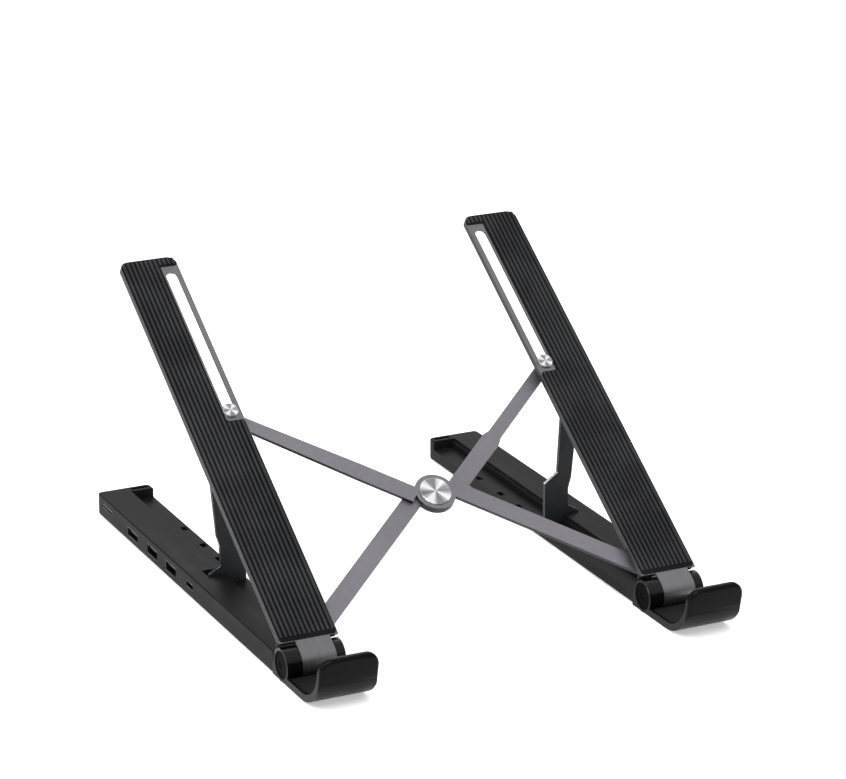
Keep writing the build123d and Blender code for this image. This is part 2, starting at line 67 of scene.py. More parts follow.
MM = 0.001
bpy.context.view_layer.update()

Colour = tuple[float, float, float]
Socket = bpy.types.NodeSocket
PaintRule = Callable[[Vector, Vector], int]


class Side(Enum):
    """Which of the two mirrored side assemblies a piece belongs to."""

    LEFT = "left"
    RIGHT = "right"

    @property
    def sign(self) -> float:
        """-1 on the left, +1 on the right."""
        return -1.0 if self is Side.LEFT else 1.0


class Along(Enum):
    """Direction in which a metal bar was drawn or brushed."""

    NONE = (1.0, 1.0, 1.0)
    LENGTH = (1.0, 0.05, 0.05)


# ---- frame of the raised arms ------------------------------------------------


@dataclass(frozen=True)
class ArmFrame:
    """Axes of the raised arms: x across, u along from the hinge, n off the hinge axis."""

    hinge: Vector
    along: Vector
    normal: Vector

    @classmethod
    def from_joints(cls, joints: Sequence[dict]) -> "ArmFrame":
        """Read the frame off the tilt and fold joints.

        Args:
            joints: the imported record's joints.

        Returns:
            The frame at rest.
        """
        named = {joint["name"]: joint for joint in joints}
        normal = Vector(named["fold"]["axis"]).normalized()
        along = normal.cross(Vector((1.0, 0.0, 0.0))).normalized()
        _, y, z = named["tilt"]["pos_m"]
        return cls(Vector((0.0, y, z)), along, normal)

    def place(self, x: float, u: float, n: float) -> Matrix:
        """Matrix that carries local X, Y, Z to across, along and off the arm.

        Args:
            x: distance across, metres.
            u: distance along the arm from the hinge axis.
            n: distance off the hinge axis.

        Returns:
            A rigid transform into the shared frame.
        """
        origin = self.hinge + Vector((x, 0.0, 0.0)) + self.along * u + self.normal * n
        across = Vector((1.0, 0.0, 0.0))
        turn = Matrix((across, self.along, self.normal)).transposed().to_4x4()
        return Matrix.Translation(origin) @ turn

    def read(self, point: Vector) -> Vector:
        """The arm coordinates (x, u, n) of a point."""
        off = point - self.hinge
        return Vector((point.x, off.dot(self.along), off.dot(self.normal)))

    def extent(self, node: str) -> tuple[Vector, Vector]:
        """Measure a CAD node in arm coordinates.

        Args:
            node: name of the CAD node.

        Returns:
            Its lowest and highest (x, u, n).
        """
        read = [self.read(vertex.co) for vertex in frame["nodes"][node].data.vertices]
        low = Vector(tuple(min(p[i] for p in read) for i in range(3)))
        high = Vector(tuple(max(p[i] for p in read) for i in range(3)))
        return low, high

    def centre(self, node: str) -> Vector:
        """Middle of a CAD node in arm coordinates."""
        low, high = self.extent(node)
        return (low + high) / 2


ARM = ArmFrame.from_joints(frame["joints"])


# ---- node graphs ---------------------------------------------------------------


class Graph:
    """Lays and joins nodes in one shader or geometry tree."""

    def __init__(self, tree: bpy.types.NodeTree) -> None:
        """Start on an empty or fresh tree."""
        self.tree = tree

    def add(self, kind: str, **settings: object) -> bpy.types.Node:
        """Make a node and set its own properties.

        Args:
            kind: Blender's type name of the node.
            settings: properties such as operation or blend_type.

        Returns:
            The new node.
        """
        node = self.tree.nodes.new(kind)
        for key, value in settings.items():
            setattr(node, key, value)
        return node

    def feed(self, socket: Socket, value: object) -> None:
        """Link a socket, or set its own value."""
        if isinstance(value, bpy.types.NodeSocket):
            self.tree.links.new(value, socket)
        else:
            socket.default_value = value

    def fed(self, kind: str, values: Mapping, **settings: object) -> bpy.types.bpy_prop_collection:
        """Make a node and feed its inputs.

        Args:
            kind: Blender's type name of the node.
            values: input name or index to value or socket.
            settings: the node's own properties.

        Returns:
            The node's outputs.
        """
        node = self.add(kind, **settings)
        for key, value in values.items():
            self.feed(node.inputs[key], value)
        return node.outputs

    def math(self, operation: str, a: object, b: object = 0.0, clamp: bool = False) -> Socket:
        """One Math node on two values or sockets; clamp keeps the result between 0 and 1."""
        return self.fed("ShaderNodeMath", {0: a, 1: b}, operation=operation, use_clamp=clamp)[0]

    def sum(self, *terms: tuple[object, float]) -> Socket:
        """Weighted sum of values, added in the order given."""
        total, weight = terms[0]
        total = self.math("MULTIPLY", total, weight)
        for value, weight in terms[1:]:
            total = self.math("ADD", total, self.math("MULTIPLY", value, weight))
        return total

    def noise(self, vector: Socket, scale: object, detail: float = 3.0, rough: float = 0.55) -> Socket:
        """One Noise Texture node.

        Args:
            vector: where it is read.
            scale: features per metre.
            detail: octaves.
            rough: weight of the fine octaves.

        Returns:
            Its factor, from 0 to 1.
        """
        values = {"Vector": vector, "Scale": scale, "Detail": detail, "Roughness": rough}
        return self.fed("ShaderNodeTexNoise", values)["Fac"]

    def remap(self, value: Socket, low: object, high: object, to_low: object, to_high: object) -> Socket:
        """Smooth Map Range.

        Args:
            value: what is mapped.
            low: where the range starts.
            high: where it ends.
            to_low: result at low.
            to_high: result at high.

        Returns:
            The mapped value.
        """
        values = {"Value": value, "From Min": low, "From Max": high, "To Min": to_low, "To Max": to_high}
        return self.fed("ShaderNodeMapRange", values, interpolation_type="SMOOTHSTEP")["Result"]

    def blend(self, factor: object, a: object, b: object) -> Socket:
        """Mix two colours; a shows at factor 0."""
        return self.fed("ShaderNodeMix", {0: factor, 6: a, 7: b}, data_type="RGBA")[2]

    def stretch(self, vector: Socket, factors: Sequence[float]) -> Socket:
        """Scale a vector by axis."""
        return self.fed("ShaderNodeVectorMath", {0: vector, 1: tuple(factors)}, operation="MULTIPLY")[0]


class Effect:
    """A shader node group with named inputs and outputs, built once and used by many finishes."""

    made: dict[str, bpy.types.NodeTree] = {}

    @classmethod
    def tree(
        cls, name: str, inputs: Sequence[tuple], outputs: Sequence[tuple], lay: Callable,
    ) -> bpy.types.NodeTree:
        """Build the group, or return the one already built.

        Args:
            name: the group's name.
            inputs: (name, socket type, default) for each input.
            outputs: (name, socket type) for each output.
            lay: called with the graph, the input sockets and the output sockets.

        Returns:
            The group's tree.
        """
        if name in cls.made:
            return cls.made[name]
        tree = bpy.data.node_groups.new(name, "ShaderNodeTree")
        for label, kind, default in inputs:
            socket = tree.interface.new_socket(label, in_out="INPUT", socket_type=kind)
            if default is not None:
                socket.default_value = default
        for label, kind in outputs:
            tree.interface.new_socket(label, in_out="OUTPUT", socket_type=kind)
        graph = Graph(tree)
        entry = graph.add("NodeGroupInput")
        leave = graph.add("NodeGroupOutput")
        lay(graph, entry.outputs, leave.inputs)
        cls.made[name] = tree
        return tree

    @classmethod
    def place(cls, graph: Graph, tree: bpy.types.NodeTree, **values: object) -> bpy.types.bpy_prop_collection:
        """Put a group in a material.

        Args:
            graph: the material's graph.
            tree: the group.
            values: input name, with _ for a space, to value or socket.

        Returns:
            The group node's outputs.
        """
        node = graph.add("ShaderNodeGroup", node_tree=tree)
        for name, value in values.items():
            graph.feed(node.inputs[name.replace("_", " ")], value)
        return node.outputs


F, C, V = "NodeSocketFloat", "NodeSocketColor", "NodeSocketVector"


def blasted_grain() -> bpy.types.NodeTree:
    """Fine grain of blasted and anodised metal, with soft clouds in its tone."""

    def lay(graph: Graph, given: object, out: object) -> None:
        """Grain, medium mottle and wide clouds, summed into a tone."""
        fine = graph.noise(given["Vector"], given["Grain"], 2.0, 0.7)
        mottle = graph.noise(given["Vector"], given["Mottle"], 4.0, 0.6)
        cloud = graph.noise(given["Vector"], given["Cloud"], 2.0, 0.5)
        tone = graph.remap(graph.sum((fine, 0.3), (mottle, 0.3), (cloud, 0.4)), 0.34, 0.66, 0.0, 1.0)
        graph.feed(out["Colour"], graph.blend(tone, given["Dark"], given["Light"]))
        graph.feed(out["Height"], fine)

    return Effect.tree(
        "blasted grain",
        [("Vector", V, None), ("Grain", F, 5200.0), ("Mottle", F, 420.0), ("Cloud", F, 16.0),
         ("Dark", C, (0.1, 0.1, 0.1, 1)), ("Light", C, (0.2, 0.2, 0.2, 1))],
        [("Colour", C), ("Height", F)],
        lay,
    )


def handling_marks() -> bpy.types.NodeTree:
    """Roughness with faint smears and touches where hands and laptops slide."""

    def lay(graph: Graph, given: object, out: object) -> None:
        """Stretched smears over round touches, as a change in roughness."""
        smear = graph.noise(graph.stretch(given["Vector"], (1.0, 0.22, 0.4)), given["Size"], 5.0, 0.6)
        touch = graph.noise(given["Vector"], graph.math("MULTIPLY", given["Size"], 0.35), 2.0, 0.4)
        smeared = graph.remap(smear, 0.42, 0.7, 0.0, 1.0)
        both = graph.math("MULTIPLY", smeared, graph.remap(touch, 0.4, 0.65, 0.2, 1.0))
        change = graph.math("MULTIPLY", both, given["Amount"])
        graph.feed(out["Roughness"], graph.math("SUBTRACT", given["Base"], change, True))

    return Effect.tree(
        "handling marks",
        [("Vector", V, None), ("Size", F, 60.0), ("Amount", F, 0.1), ("Base", F, 0.4)],
        [("Roughness", F)],
        lay,
    )


def painted_edge_stripe() -> bpy.types.NodeTree:
    """Painted highlight along an edge: a stripe of one tone broken by patches of a lighter tone."""

    def lay(graph: Graph, given: object, out: object) -> None:
        """A patchy mask mixes the stripe's tone with the lighter tone of the painted highlight."""
        patch = graph.noise(given["Vector"], given["Patch"], 4.0, 0.65)
        nick = graph.noise(given["Vector"], graph.math("MULTIPLY", given["Patch"], 9.0), 2.0, 0.5)
        # Patch mask of the painted edge highlight, from large and small noise.
        highlit = graph.remap(graph.sum((patch, 0.7), (nick, 0.3)), 0.36, 0.6, 0.25, 1.0)
        mask = graph.math("MULTIPLY", highlit, given["Highlight"], True)
        graph.feed(out["Colour"], graph.blend(mask, given["Finish"], given["Metal"]))
        graph.feed(out["Mask"], mask)

    return Effect.tree(
        "edge rub",
        [("Vector", V, None), ("Patch", F, 90.0), ("Highlight", F, 0.6),
         ("Finish", C, (0.1, 0.1, 0.1, 1)), ("Metal", C, (0.6, 0.6, 0.6, 1))],
        [("Colour", C), ("Mask", F)],
        lay,
    )


def spun_rings_and_painted_glints() -> bpy.types.NodeTree:
    """Painted radial glints and fine turned rings of a spun disc centred on the vector's origin; the glints
    are painted highlight.
    """

    def lay(graph: Graph, given: object, out: object) -> None:
        """The painted glints depend on direction only, rings on radius only."""
        flat = graph.stretch(given["Vector"], (1.0, 1.0, 0.0))
        way = graph.fed("ShaderNodeVectorMath", {0: flat}, operation="NORMALIZE")[0]
        reach = graph.fed("ShaderNodeVectorMath", {0: flat}, operation="LENGTH")["Value"]
        parts = graph.fed("ShaderNodeSeparateXYZ", {0: way})
        square = graph.math("MULTIPLY", graph.math("MULTIPLY", parts[0], parts[1]), 2.0)
        lobe = graph.math("POWER", graph.math("ABSOLUTE", square), 2.6)
        streak = graph.noise(way, given["Streaks"], 4.0, 0.75)
        broad = graph.noise(way, 1.7, 1.0, 0.5)
        shade = graph.remap(graph.sum((lobe, 0.55), (streak, 0.75), (broad, 0.35)), 0.45, 1.15, 0.0, 1.0)
        rings = graph.math("SINE", graph.math("MULTIPLY", reach, given["Rings"]))
        graph.feed(out["Colour"], graph.blend(shade, given["Dark"], given["Light"]))
        graph.feed(out["Height"], graph.math("ADD", graph.math("MULTIPLY", rings, 0.5), streak))
        graph.feed(out["Glint"], shade)

    return Effect.tree(
        "spun rings and painted glints",
        [("Vector", V, None), ("Streaks", F, 14.0), ("Rings", F, 9000.0),
         ("Dark", C, (0.2, 0.2, 0.2, 1)), ("Light", C, (0.9, 0.9, 0.9, 1))],
        [("Colour", C), ("Height", F), ("Glint", F)],
        lay,
    )


def moulded_skin() -> bpy.types.NodeTree:
    """Fine pebble of moulded rubber or plastic with pale dust lying on it."""

    def lay(graph: Graph, given: object, out: object) -> None:
        """Cells make the pebble; a patchy mask lays the dust."""
        sizes = {"Vector": given["Vector"], "Scale": given["Pebble"]}
        cells = graph.fed("ShaderNodeTexVoronoi", sizes, feature="SMOOTH_F1")
        cloud = graph.noise(given["Vector"], 34.0, 4.0, 0.6)
        speck = graph.noise(given["Vector"], 2600.0, 2.0, 0.6)
        patches = graph.remap(cloud, 0.42, 0.68, 0.15, 1.0)
        dust = graph.math("MULTIPLY", patches, graph.remap(speck, 0.5, 0.72, 0.0, 1.0))
        dust = graph.math("MULTIPLY", dust, given["Dust"], True)
        tone = graph.blend(graph.remap(cloud, 0.35, 0.65, 0.0, 1.0), given["Dark"], given["Light"])
        graph.feed(out["Colour"], graph.blend(dust, tone, given["Dust Colour"]))
        graph.feed(out["Height"], graph.math("ADD", cells["Distance"], graph.math("MULTIPLY", speck, 0.5)))
        graph.feed(out["Dust"], dust)

    return Effect.tree(
        "moulded skin",
        [("Vector", V, None), ("Pebble", F, 2200.0), ("Dust", F, 0.3), ("Dark", C, (0.02, 0.02, 0.02, 1)),
         ("Light", C, (0.03, 0.03, 0.03, 1)), ("Dust Colour", C, (0.2, 0.2, 0.2, 1))],
        [("Colour", C), ("Height", F), ("Dust", F)],
        lay,
    )


# ---- finishes --------------------------------------------------------------------


@dataclass(frozen=True)
class Finish:
    """A named surface; subclasses lay its nodes."""

    name: str

    def material(self) -> bpy.types.Material:
        """Build the material, or return it if it is already there.

        Returns:
            The Blender material.
        """
        known = bpy.data.materials.get(self.name)
        if known is not None:
            return known
        made = bpy.data.materials.new(self.name)
        made.use_nodes = True
        made.node_tree.nodes.clear()
        graph = Graph(made.node_tree)
        shader = graph.add("ShaderNodeBsdfPrincipled")
        surface = graph.add("ShaderNodeOutputMaterial")
        graph.feed(surface.inputs["Surface"], shader.outputs["BSDF"])
        where = graph.add("ShaderNodeTexCoord")
        self.lay(graph, shader.inputs, where.outputs["Object"])
        return made

    def lay(self, graph: Graph, shader: object, where: Socket) -> None:
        """Lay the nodes between the object's coordinates and the shader."""
        raise NotImplementedError

    @staticmethod
    def surface(graph: Graph, shader: object, colour: Socket, roughness: Socket, **plain: float) -> None:
        """Feed colour and roughness and set plain numbers.

        Args:
            graph: the material's graph.
            shader: the Principled shader's inputs.
            colour: the base colour socket.
            roughness: the roughness socket.
            plain: shader input, with _ for a space, to its number.
        """
        graph.feed(shader["Base Color"], colour)
        graph.feed(shader["Roughness"], roughness)
        for name, value in plain.items():
            shader[name.replace("_", " ")].default_value = value

    @staticmethod
    def relief(graph: Graph, shader: object, height: Socket, depth: float, strength: float) -> None:
        """Feed a height to the shader's normal.

        Args:
            graph: the material's graph.
            shader: the Principled shader's inputs.
            height: the height socket.
            depth: metres between height 0 and 1.
            strength: how much of the slope shows.
        """
        bump = graph.fed("ShaderNodeBump", {"Strength": strength, "Distance": depth, "Height": height})
        graph.feed(shader["Normal"], bump["Normal"])


def rgba(colour: Colour, factor: float = 1.0) -> tuple[float, float, float, float]:
    """A colour times a factor, with full alpha."""
    return (colour[0] * factor, colour[1] * factor, colour[2] * factor, 1.0)


@dataclass(frozen=True)
class SatinMetal(Finish):
    """Blasted and anodised aluminium."""

    colour: Colour
    spread: float = 0.16
    roughness: float = 0.42
    metallic: float = 0.9
    drawn: Along = Along.NONE
    grain: float = 5200.0
    specular: float = 0.04

    def lay(self, graph: Graph, shader: object, where: Socket) -> None:
        """Grain gives the colour and relief, handling marks the roughness."""
        drawn = graph.stretch(where, self.drawn.value)
        grain = Effect.place(
            graph, blasted_grain(), Vector=drawn, Grain=self.grain,
            Dark=rgba(self.colour, 1 - self.spread), Light=rgba(self.colour, 1 + self.spread),
        )
        marks = Effect.place(graph, handling_marks(), Vector=where, Base=self.roughness, Amount=0.09)
        self.surface(
            graph, shader, grain["Colour"], marks["Roughness"],
            Metallic=self.metallic, Specular_IOR_Level=self.specular,
        )
        self.relief(graph, shader, grain["Height"], 0.00002, 0.35)


@dataclass(frozen=True)
class PaintedEdgeStripe(Finish):
    """Chamfer painted as an edge stripe with patches of painted highlight."""

    # finish is the stripe's tone, metal the tone of the painted highlight patches, and wear their share.
    finish: Colour
    metal: Colour
    wear: float = 0.6
    roughness: float = 0.3

    def lay(self, graph: Graph, shader: object, where: Socket) -> None:
        """The painted edge stripe gives the colour; roughness drops where its highlight patches lie."""
        painting = Effect.place(
            graph, painted_edge_stripe(), Vector=where, Highlight=self.wear, Finish=rgba(self.finish), Metal=rgba(self.metal),
        )
        rough = graph.remap(painting["Mask"], 0.0, 1.0, self.roughness + 0.12, self.roughness)
        self.surface(graph, shader, painting["Colour"], rough, Metallic=0.95)


@dataclass(frozen=True)
class SpunMetal(Finish):
    """Spun disc, bright in painted rays about its own centre: painted highlight."""

    centre: tuple[float, float, float]
    turn: tuple[float, float, float]
    streaks: float = 14.0
    rings: float = 9000.0

    def lay(self, graph: Graph, shader: object, where: Socket) -> None:
        """A Mapping node centres the painted rays on the disc."""
        frame_of_disc = {"Location": self.centre, "Rotation": self.turn, "Vector": where}
        centred = graph.fed("ShaderNodeMapping", frame_of_disc, vector_type="TEXTURE")
        spun = Effect.place(
            graph, spun_rings_and_painted_glints(), Vector=centred["Vector"], Streaks=self.streaks, Rings=self.rings,
            # Dark to Light spans the painted radial glints: painted highlight from 0.20 to 0.93.
            Dark=(0.20, 0.20, 0.205, 1.0), Light=(0.93, 0.93, 0.94, 1.0),
        )
        rough = graph.remap(spun["Glint"], 0.0, 1.0, 0.34, 0.22)
        self.surface(graph, shader, spun["Colour"], rough, Metallic=1.0)
        self.relief(graph, shader, spun["Height"], 0.00001, 0.25)


@dataclass(frozen=True)
class TurnedSteel(Finish):
    """Plain turned or plated steel with faint tool lines."""

    colour: Colour
    roughness: float = 0.28

    def lay(self, graph: Graph, shader: object, where: Socket) -> None:
        """Tool lines run round; marks dull them in places."""
        grain = Effect.place(
            graph, blasted_grain(), Vector=graph.stretch(where, (0.15, 1.0, 1.0)), Grain=3600.0,
            Dark=rgba(self.colour, 0.7), Light=rgba(self.colour, 1.2),
        )
        marks = Effect.place(
            graph, handling_marks(), Vector=where, Base=self.roughness, Amount=0.1, Size=300.0,
        )
        self.surface(graph, shader, grain["Colour"], marks["Roughness"], Metallic=1.0)
        self.relief(graph, shader, grain["Height"], 0.00001, 0.3)


@dataclass(frozen=True)
class GlossBlack(Finish):
    """Polished black anodising with faint wipe marks."""

    colour: Colour
    roughness: float = 0.2
    specular: float = 0.1

    def lay(self, graph: Graph, shader: object, where: Socket) -> None:
        """Wipe marks change only the gloss; a soft mottle changes the tone."""
        marks = Effect.place(
            graph, handling_marks(), Vector=where, Base=self.roughness + 0.06, Amount=0.12, Size=140.0,
        )
        grain = Effect.place(
            graph, blasted_grain(), Vector=where, Mottle=240.0,
            Dark=rgba(self.colour, 0.75), Light=rgba(self.colour, 1.3),
        )
        self.surface(graph, shader, grain["Colour"], marks["Roughness"], Specular_IOR_Level=self.specular)
        self.relief(graph, shader, grain["Height"], 0.00001, 0.12)


@dataclass(frozen=True)
class Moulded(Finish):
    """Moulded rubber or plastic."""

    colour: Colour
    roughness: float = 0.62
    dust: float = 0.25
    pebble: float = 2200.0
    specular: float = 0.12

    def lay(self, graph: Graph, shader: object, where: Socket) -> None:
        """The moulded skin gives colour and relief; dust dulls it."""
        skin = Effect.place(
            graph, moulded_skin(), Vector=where, Pebble=self.pebble, Dust=self.dust,
            Dark=rgba(self.colour, 0.8), Light=rgba(self.colour, 1.25), Dust_Colour=rgba(self.colour, 3.2),
        )
        rough = graph.remap(skin["Dust"], 0.0, 1.0, self.roughness, 0.95)
        self.surface(graph, shader, skin["Colour"], rough, Specular_IOR_Level=self.specular)
        self.relief(graph, shader, skin["Height"], 0.00003, 0.4)


@dataclass(frozen=True)
class SolderMask(Finish):
    """Green circuit board with tracks under its solder mask."""

    colour: Colour
    tracks: Colour = (0.07, 0.2, 0.08)

    def lay(self, graph: Graph, shader: object, where: Socket) -> None:
        """Straight-edged cells stand for the copper areas under the mask."""
        areas = {"Vector": where, "Scale": 420.0}
        cells = graph.fed("ShaderNodeTexVoronoi", areas, distance="CHEBYCHEV", feature="F1")
        copper = graph.remap(cells["Distance"], 0.3, 0.34, 0.0, 1.0)
        grain = Effect.place(
            graph, blasted_grain(), Vector=where, Dark=rgba(self.colour, 0.8), Light=rgba(self.colour, 1.1),
        )
        colour = graph.blend(copper, grain["Colour"], rgba(self.tracks))
        self.surface(graph, shader, colour, graph.remap(copper, 0.0, 1.0, 0.45, 0.3))
        self.relief(graph, shader, copper, 0.00004, 0.5)


CHARCOAL = (0.0105, 0.0096, 0.0105)
ARM_GREY = (0.17, 0.17, 0.178)
BRACE_GREY = (0.215, 0.205, 0.228)


class Dress:
    """Every finish of the stand."""

    BASE = SatinMetal("charcoal anodised bar", CHARCOAL, roughness=0.5, metallic=0.12, drawn=Along.LENGTH)
    # The edge finishes below paint the rounded edges as stripes with patches of painted highlight; the arm's
    # stripe is darker than its face.
    BASE_EDGE = PaintedEdgeStripe("charcoal rubbed edge", (0.05, 0.05, 0.053), (0.36, 0.36, 0.37), wear=0.5)
    HOOK = GlossBlack("black anodised hook", (0.003, 0.003, 0.0034), 0.26, specular=0.07)
    RING = GlossBlack("polished black ring", (0.0025, 0.0025, 0.0028), 0.16, specular=0.22)
    ARM = SatinMetal("grey anodised arm", ARM_GREY, roughness=0.36, drawn=Along.LENGTH)
    ARM_EDGE = PaintedEdgeStripe("arm rubbed edge", (0.016, 0.016, 0.017), (0.11, 0.11, 0.115), wear=0.35)
    # The arm's grey anodising painted much darker for the flange sides: painted shade.
    ARM_SIDE_SHADE = SatinMetal(
        "grey anodised flange, painted shade", (0.035, 0.035, 0.037), roughness=0.4, metallic=0.3, drawn=Along.LENGTH,
    )
    BRACE = SatinMetal("mauve grey anodised brace", BRACE_GREY, roughness=0.48, spread=0.10)
    # The brace's anodising painted much darker for the bar sides: painted shade.
    BRACE_SIDE_SHADE = SatinMetal("brace side, painted shade", (0.045, 0.044, 0.048), roughness=0.4, spread=0.3)
    BRACE_EDGE = PaintedEdgeStripe("brace rubbed edge", (0.075, 0.073, 0.078), (0.2, 0.2, 0.21), wear=0.2)
    STRUT = SatinMetal("dark anodised strut", (0.03, 0.031, 0.033), roughness=0.42, metallic=0.4, spread=0.2)
    # Near-white patches on the strut's sloping shoulder and edges: painted highlight.
    STRUT_HIGHLIGHT = PaintedEdgeStripe("strut shoulder, painted highlight", (0.10, 0.10, 0.105), (0.9, 0.9, 0.9), wear=0.9)
    # The pad body is the ribs' rubber painted darker: painted shade in the grooves between the ribs.
    PAD = Moulded("charcoal rubber pad, painted groove shade", (0.0090, 0.0090, 0.0098), roughness=0.6, dust=0.1, specular=0.03)
    RIB = Moulded("charcoal rubber rib", (0.029, 0.029, 0.031), roughness=0.5, dust=0.15, pebble=2600.0)
    LINING = Moulded("soft black lining", (0.007, 0.007, 0.007), roughness=0.8, dust=0.3, pebble=1500.0)
    FOOT = Moulded("black rubber foot", (0.010, 0.010, 0.010), roughness=0.7, dust=0.35)
    COVER = Moulded("black moulded cover", (0.020, 0.020, 0.021), roughness=0.6, dust=0.2, pebble=1300.0)
    WASHER = Moulded("dark nylon", (0.055, 0.055, 0.055), roughness=0.45, dust=0.05)
    CAP = GlossBlack("black barrel disc", (0.0015, 0.0015, 0.0015), 0.4, specular=0.01)
    PIN = TurnedSteel("turned steel pin", (0.5, 0.5, 0.51))
    SCREW = TurnedSteel("blackened screw", (0.12, 0.12, 0.125), 0.35)
    SHELL = TurnedSteel("plated socket shell", (0.17, 0.17, 0.18), 0.3)
    TONGUE = Moulded("black socket tongue", (0.012, 0.012, 0.013), roughness=0.4, dust=0.0)
    GOLD = TurnedSteel("gold contact", (0.95, 0.66, 0.26), 0.22)
    BOARD = SolderMask("green board", (0.015, 0.075, 0.03))


# ---- mesh work --------------------------------------------------------------------


class Shop:
    """Mesh tools that every sub-assembly shares."""

    @staticmethod
    def new_object(name: str, mesh: bpy.types.Mesh) -> bpy.types.Object:
        """Put a mesh in the scene under a name."""
        made = bpy.data.objects.new(name, mesh)
        bpy.context.scene.collection.objects.link(made)
        return made

    @classmethod
    def from_bmesh(cls, name: str, shape: bmesh.types.BMesh) -> bpy.types.Object:
        """Close, orient and keep a mesh under construction.

        Args:
            name: the object's name.
            shape: the mesh, which is freed.

        Returns:
            The new object.
        """
        bmesh.ops.remove_doubles(shape, verts=shape.verts, dist=1e-6)
        bmesh.ops.recalc_face_normals(shape, faces=shape.faces)
        mesh = bpy.data.meshes.new(name)
        shape.to_mesh(mesh)
        shape.free()
        return cls.new_object(name, mesh)

    @classmethod
    def copy_node(cls, node: str, name: str) -> bpy.types.Object:
        """Merged copy of a CAD node with its flat faces whole again.

        Args:
            node: name of the CAD node.
            name: name of the copy.

        Returns:
            The copy, at the origin.
        """
        source = frame["nodes"][node].data
        mesh = bpy.data.meshes.new(name)
        mesh.from_pydata([v.co[:] for v in source.vertices], [], [p.vertices[:] for p in source.polygons])
        shape = bmesh.new()
        shape.from_mesh(mesh)
        bmesh.ops.remove_doubles(shape, verts=shape.verts, dist=2e-6)
        bmesh.ops.dissolve_degenerate(shape, edges=shape.edges, dist=1e-6)
        bmesh.ops.dissolve_limit(shape, angle_limit=math.radians(0.5), verts=shape.verts, edges=shape.edges)
        shape.to_mesh(mesh)
        shape.free()
        return cls.new_object(name, mesh)

    @staticmethod
    def wear(piece: bpy.types.Object, *finishes: Finish) -> None:
        """Give a piece its finishes, in the order of its material indices."""
        piece.data.materials.clear()
        for finish in finishes:
            piece.data.materials.append(finish.material())

    @staticmethod
    def paint(piece: bpy.types.Object, rule: PaintRule) -> None:
        """Pick each face's finish.

        Args:
            piece: the object.
            rule: gives a finish index from a face's centre and normal.
        """
        for polygon in piece.data.polygons:
            polygon.material_index = rule(polygon.center, polygon.normal)

    @staticmethod
    def shade(piece: bpy.types.Object, angle: float = 32.0) -> None:
        """Smooth the faces and keep edges sharper than an angle."""
        for polygon in piece.data.polygons:
            polygon.use_smooth = True
        piece.data.set_sharp_from_angle(angle=math.radians(angle))

    @classmethod
    def chamfer(cls, piece: bpy.types.Object, width: float, edge: int, angle: float = 48.0,
                shortest: float = 0.0016) -> None:
        """Round the keen edges of a piece with a live Bevel, then settle it.

        Args:
            piece: the object.
            width: width of the rounding, metres.
            edge: finish index of the new faces, or -1 for the neighbours' own.
            angle: only edges sharper than this, degrees.
            shortest: edges shorter than this stay sharp.
        """
        cls.shade(piece)
        shape = bmesh.new()
        shape.from_mesh(piece.data)
        weight = shape.edges.layers.float.new("bevel_weight_edge")
        for line in shape.edges:
            if len(line.link_faces) == 2 and line.calc_length() > shortest:
                if line.calc_face_angle(0.0) > math.radians(angle):
                    line[weight] = 1.0
        shape.to_mesh(piece.data)
        shape.free()
        tool = piece.modifiers.new("rounding", "BEVEL")
        tool.limit_method = "WEIGHT"
        tool.width = width
        tool.segments = 2
        tool.material = edge
        tool.harden_normals = True
        tool.use_clamp_overlap = True
        cls.settle(piece)

    @staticmethod
    def settle(piece: bpy.types.Object) -> None:
        """Turn a piece's live modifiers into plain mesh."""
        graph = bpy.context.evaluated_depsgraph_get()
        graph.update()
        baked = bpy.data.meshes.new_from_object(
            piece.evaluated_get(graph), preserve_all_data_layers=True, depsgraph=graph,
        )
        piece.modifiers.clear()
        old = piece.data
        piece.data = baked
        bpy.data.meshes.remove(old)

    @classmethod
    def lathe(cls, name: str, profile: Sequence[tuple[float, float]], place: Matrix,
              ring: bool = False, steps: int = 64) -> bpy.types.Object:
        """Turn a profile about its own axis.

        Args:
            name: the object's name.
            profile: (radius, height) in metres, from the bottom round to the top.
            place: transform from the axis frame to the shared frame.
            ring: join the last point to the first, for a piece with a bore.
            steps: sides round the axis.

        Returns:
            The turned piece.
        """
        shape = bmesh.new()
        rows = []
        for radius, height in profile:
            if radius < 1e-7:
                rows.append([shape.verts.new(place @ Vector((0.0, 0.0, height)))] * steps)
                continue
            row = []
            for i in range(steps):
                angle = 2 * math.pi * i / steps
                spot = Vector((radius * math.cos(angle), radius * math.sin(angle), height))
                row.append(shape.verts.new(place @ spot))
            rows.append(row)
        pairs = list(zip(rows, rows[1:]))
        if ring:
            pairs.append((rows[-1], rows[0]))
        for low, high in pairs:
            for i in range(steps):
                j = (i + 1) % steps
                corners = list(dict.fromkeys((low[i], low[j], high[j], high[i])))
                if len(corners) > 2:
                    shape.faces.new(corners)
        made = cls.from_bmesh(name, shape)
        cls.shade(made, 28.0)
        return made

    @staticmethod
    def stand_for(piece: bpy.types.Object, *nodes: str) -> None:
        """Ride with the nodes' body and replace them."""
        body = frame["nodes"][nodes[0]]["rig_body"]
        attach(piece, body)
        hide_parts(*nodes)
        LOG.info("%s: %d faces, rides on %s", piece.name, len(piece.data.polygons), body)

    @classmethod
    def soft_copy(cls, node: str, name: str, finish: Finish, width: float) -> None:
        """Copy of a CAD node in one finish, with its keen edges rounded.

        Args:
            node: name of the CAD node it stands for.
            name: name of the copy.
            finish: its finish.
            width: width of the rounding, metres.
        """
        piece = cls.copy_node(node, name)
        cls.wear(piece, finish)
        cls.chamfer(piece, width, -1)
        cls.stand_for(piece, node)

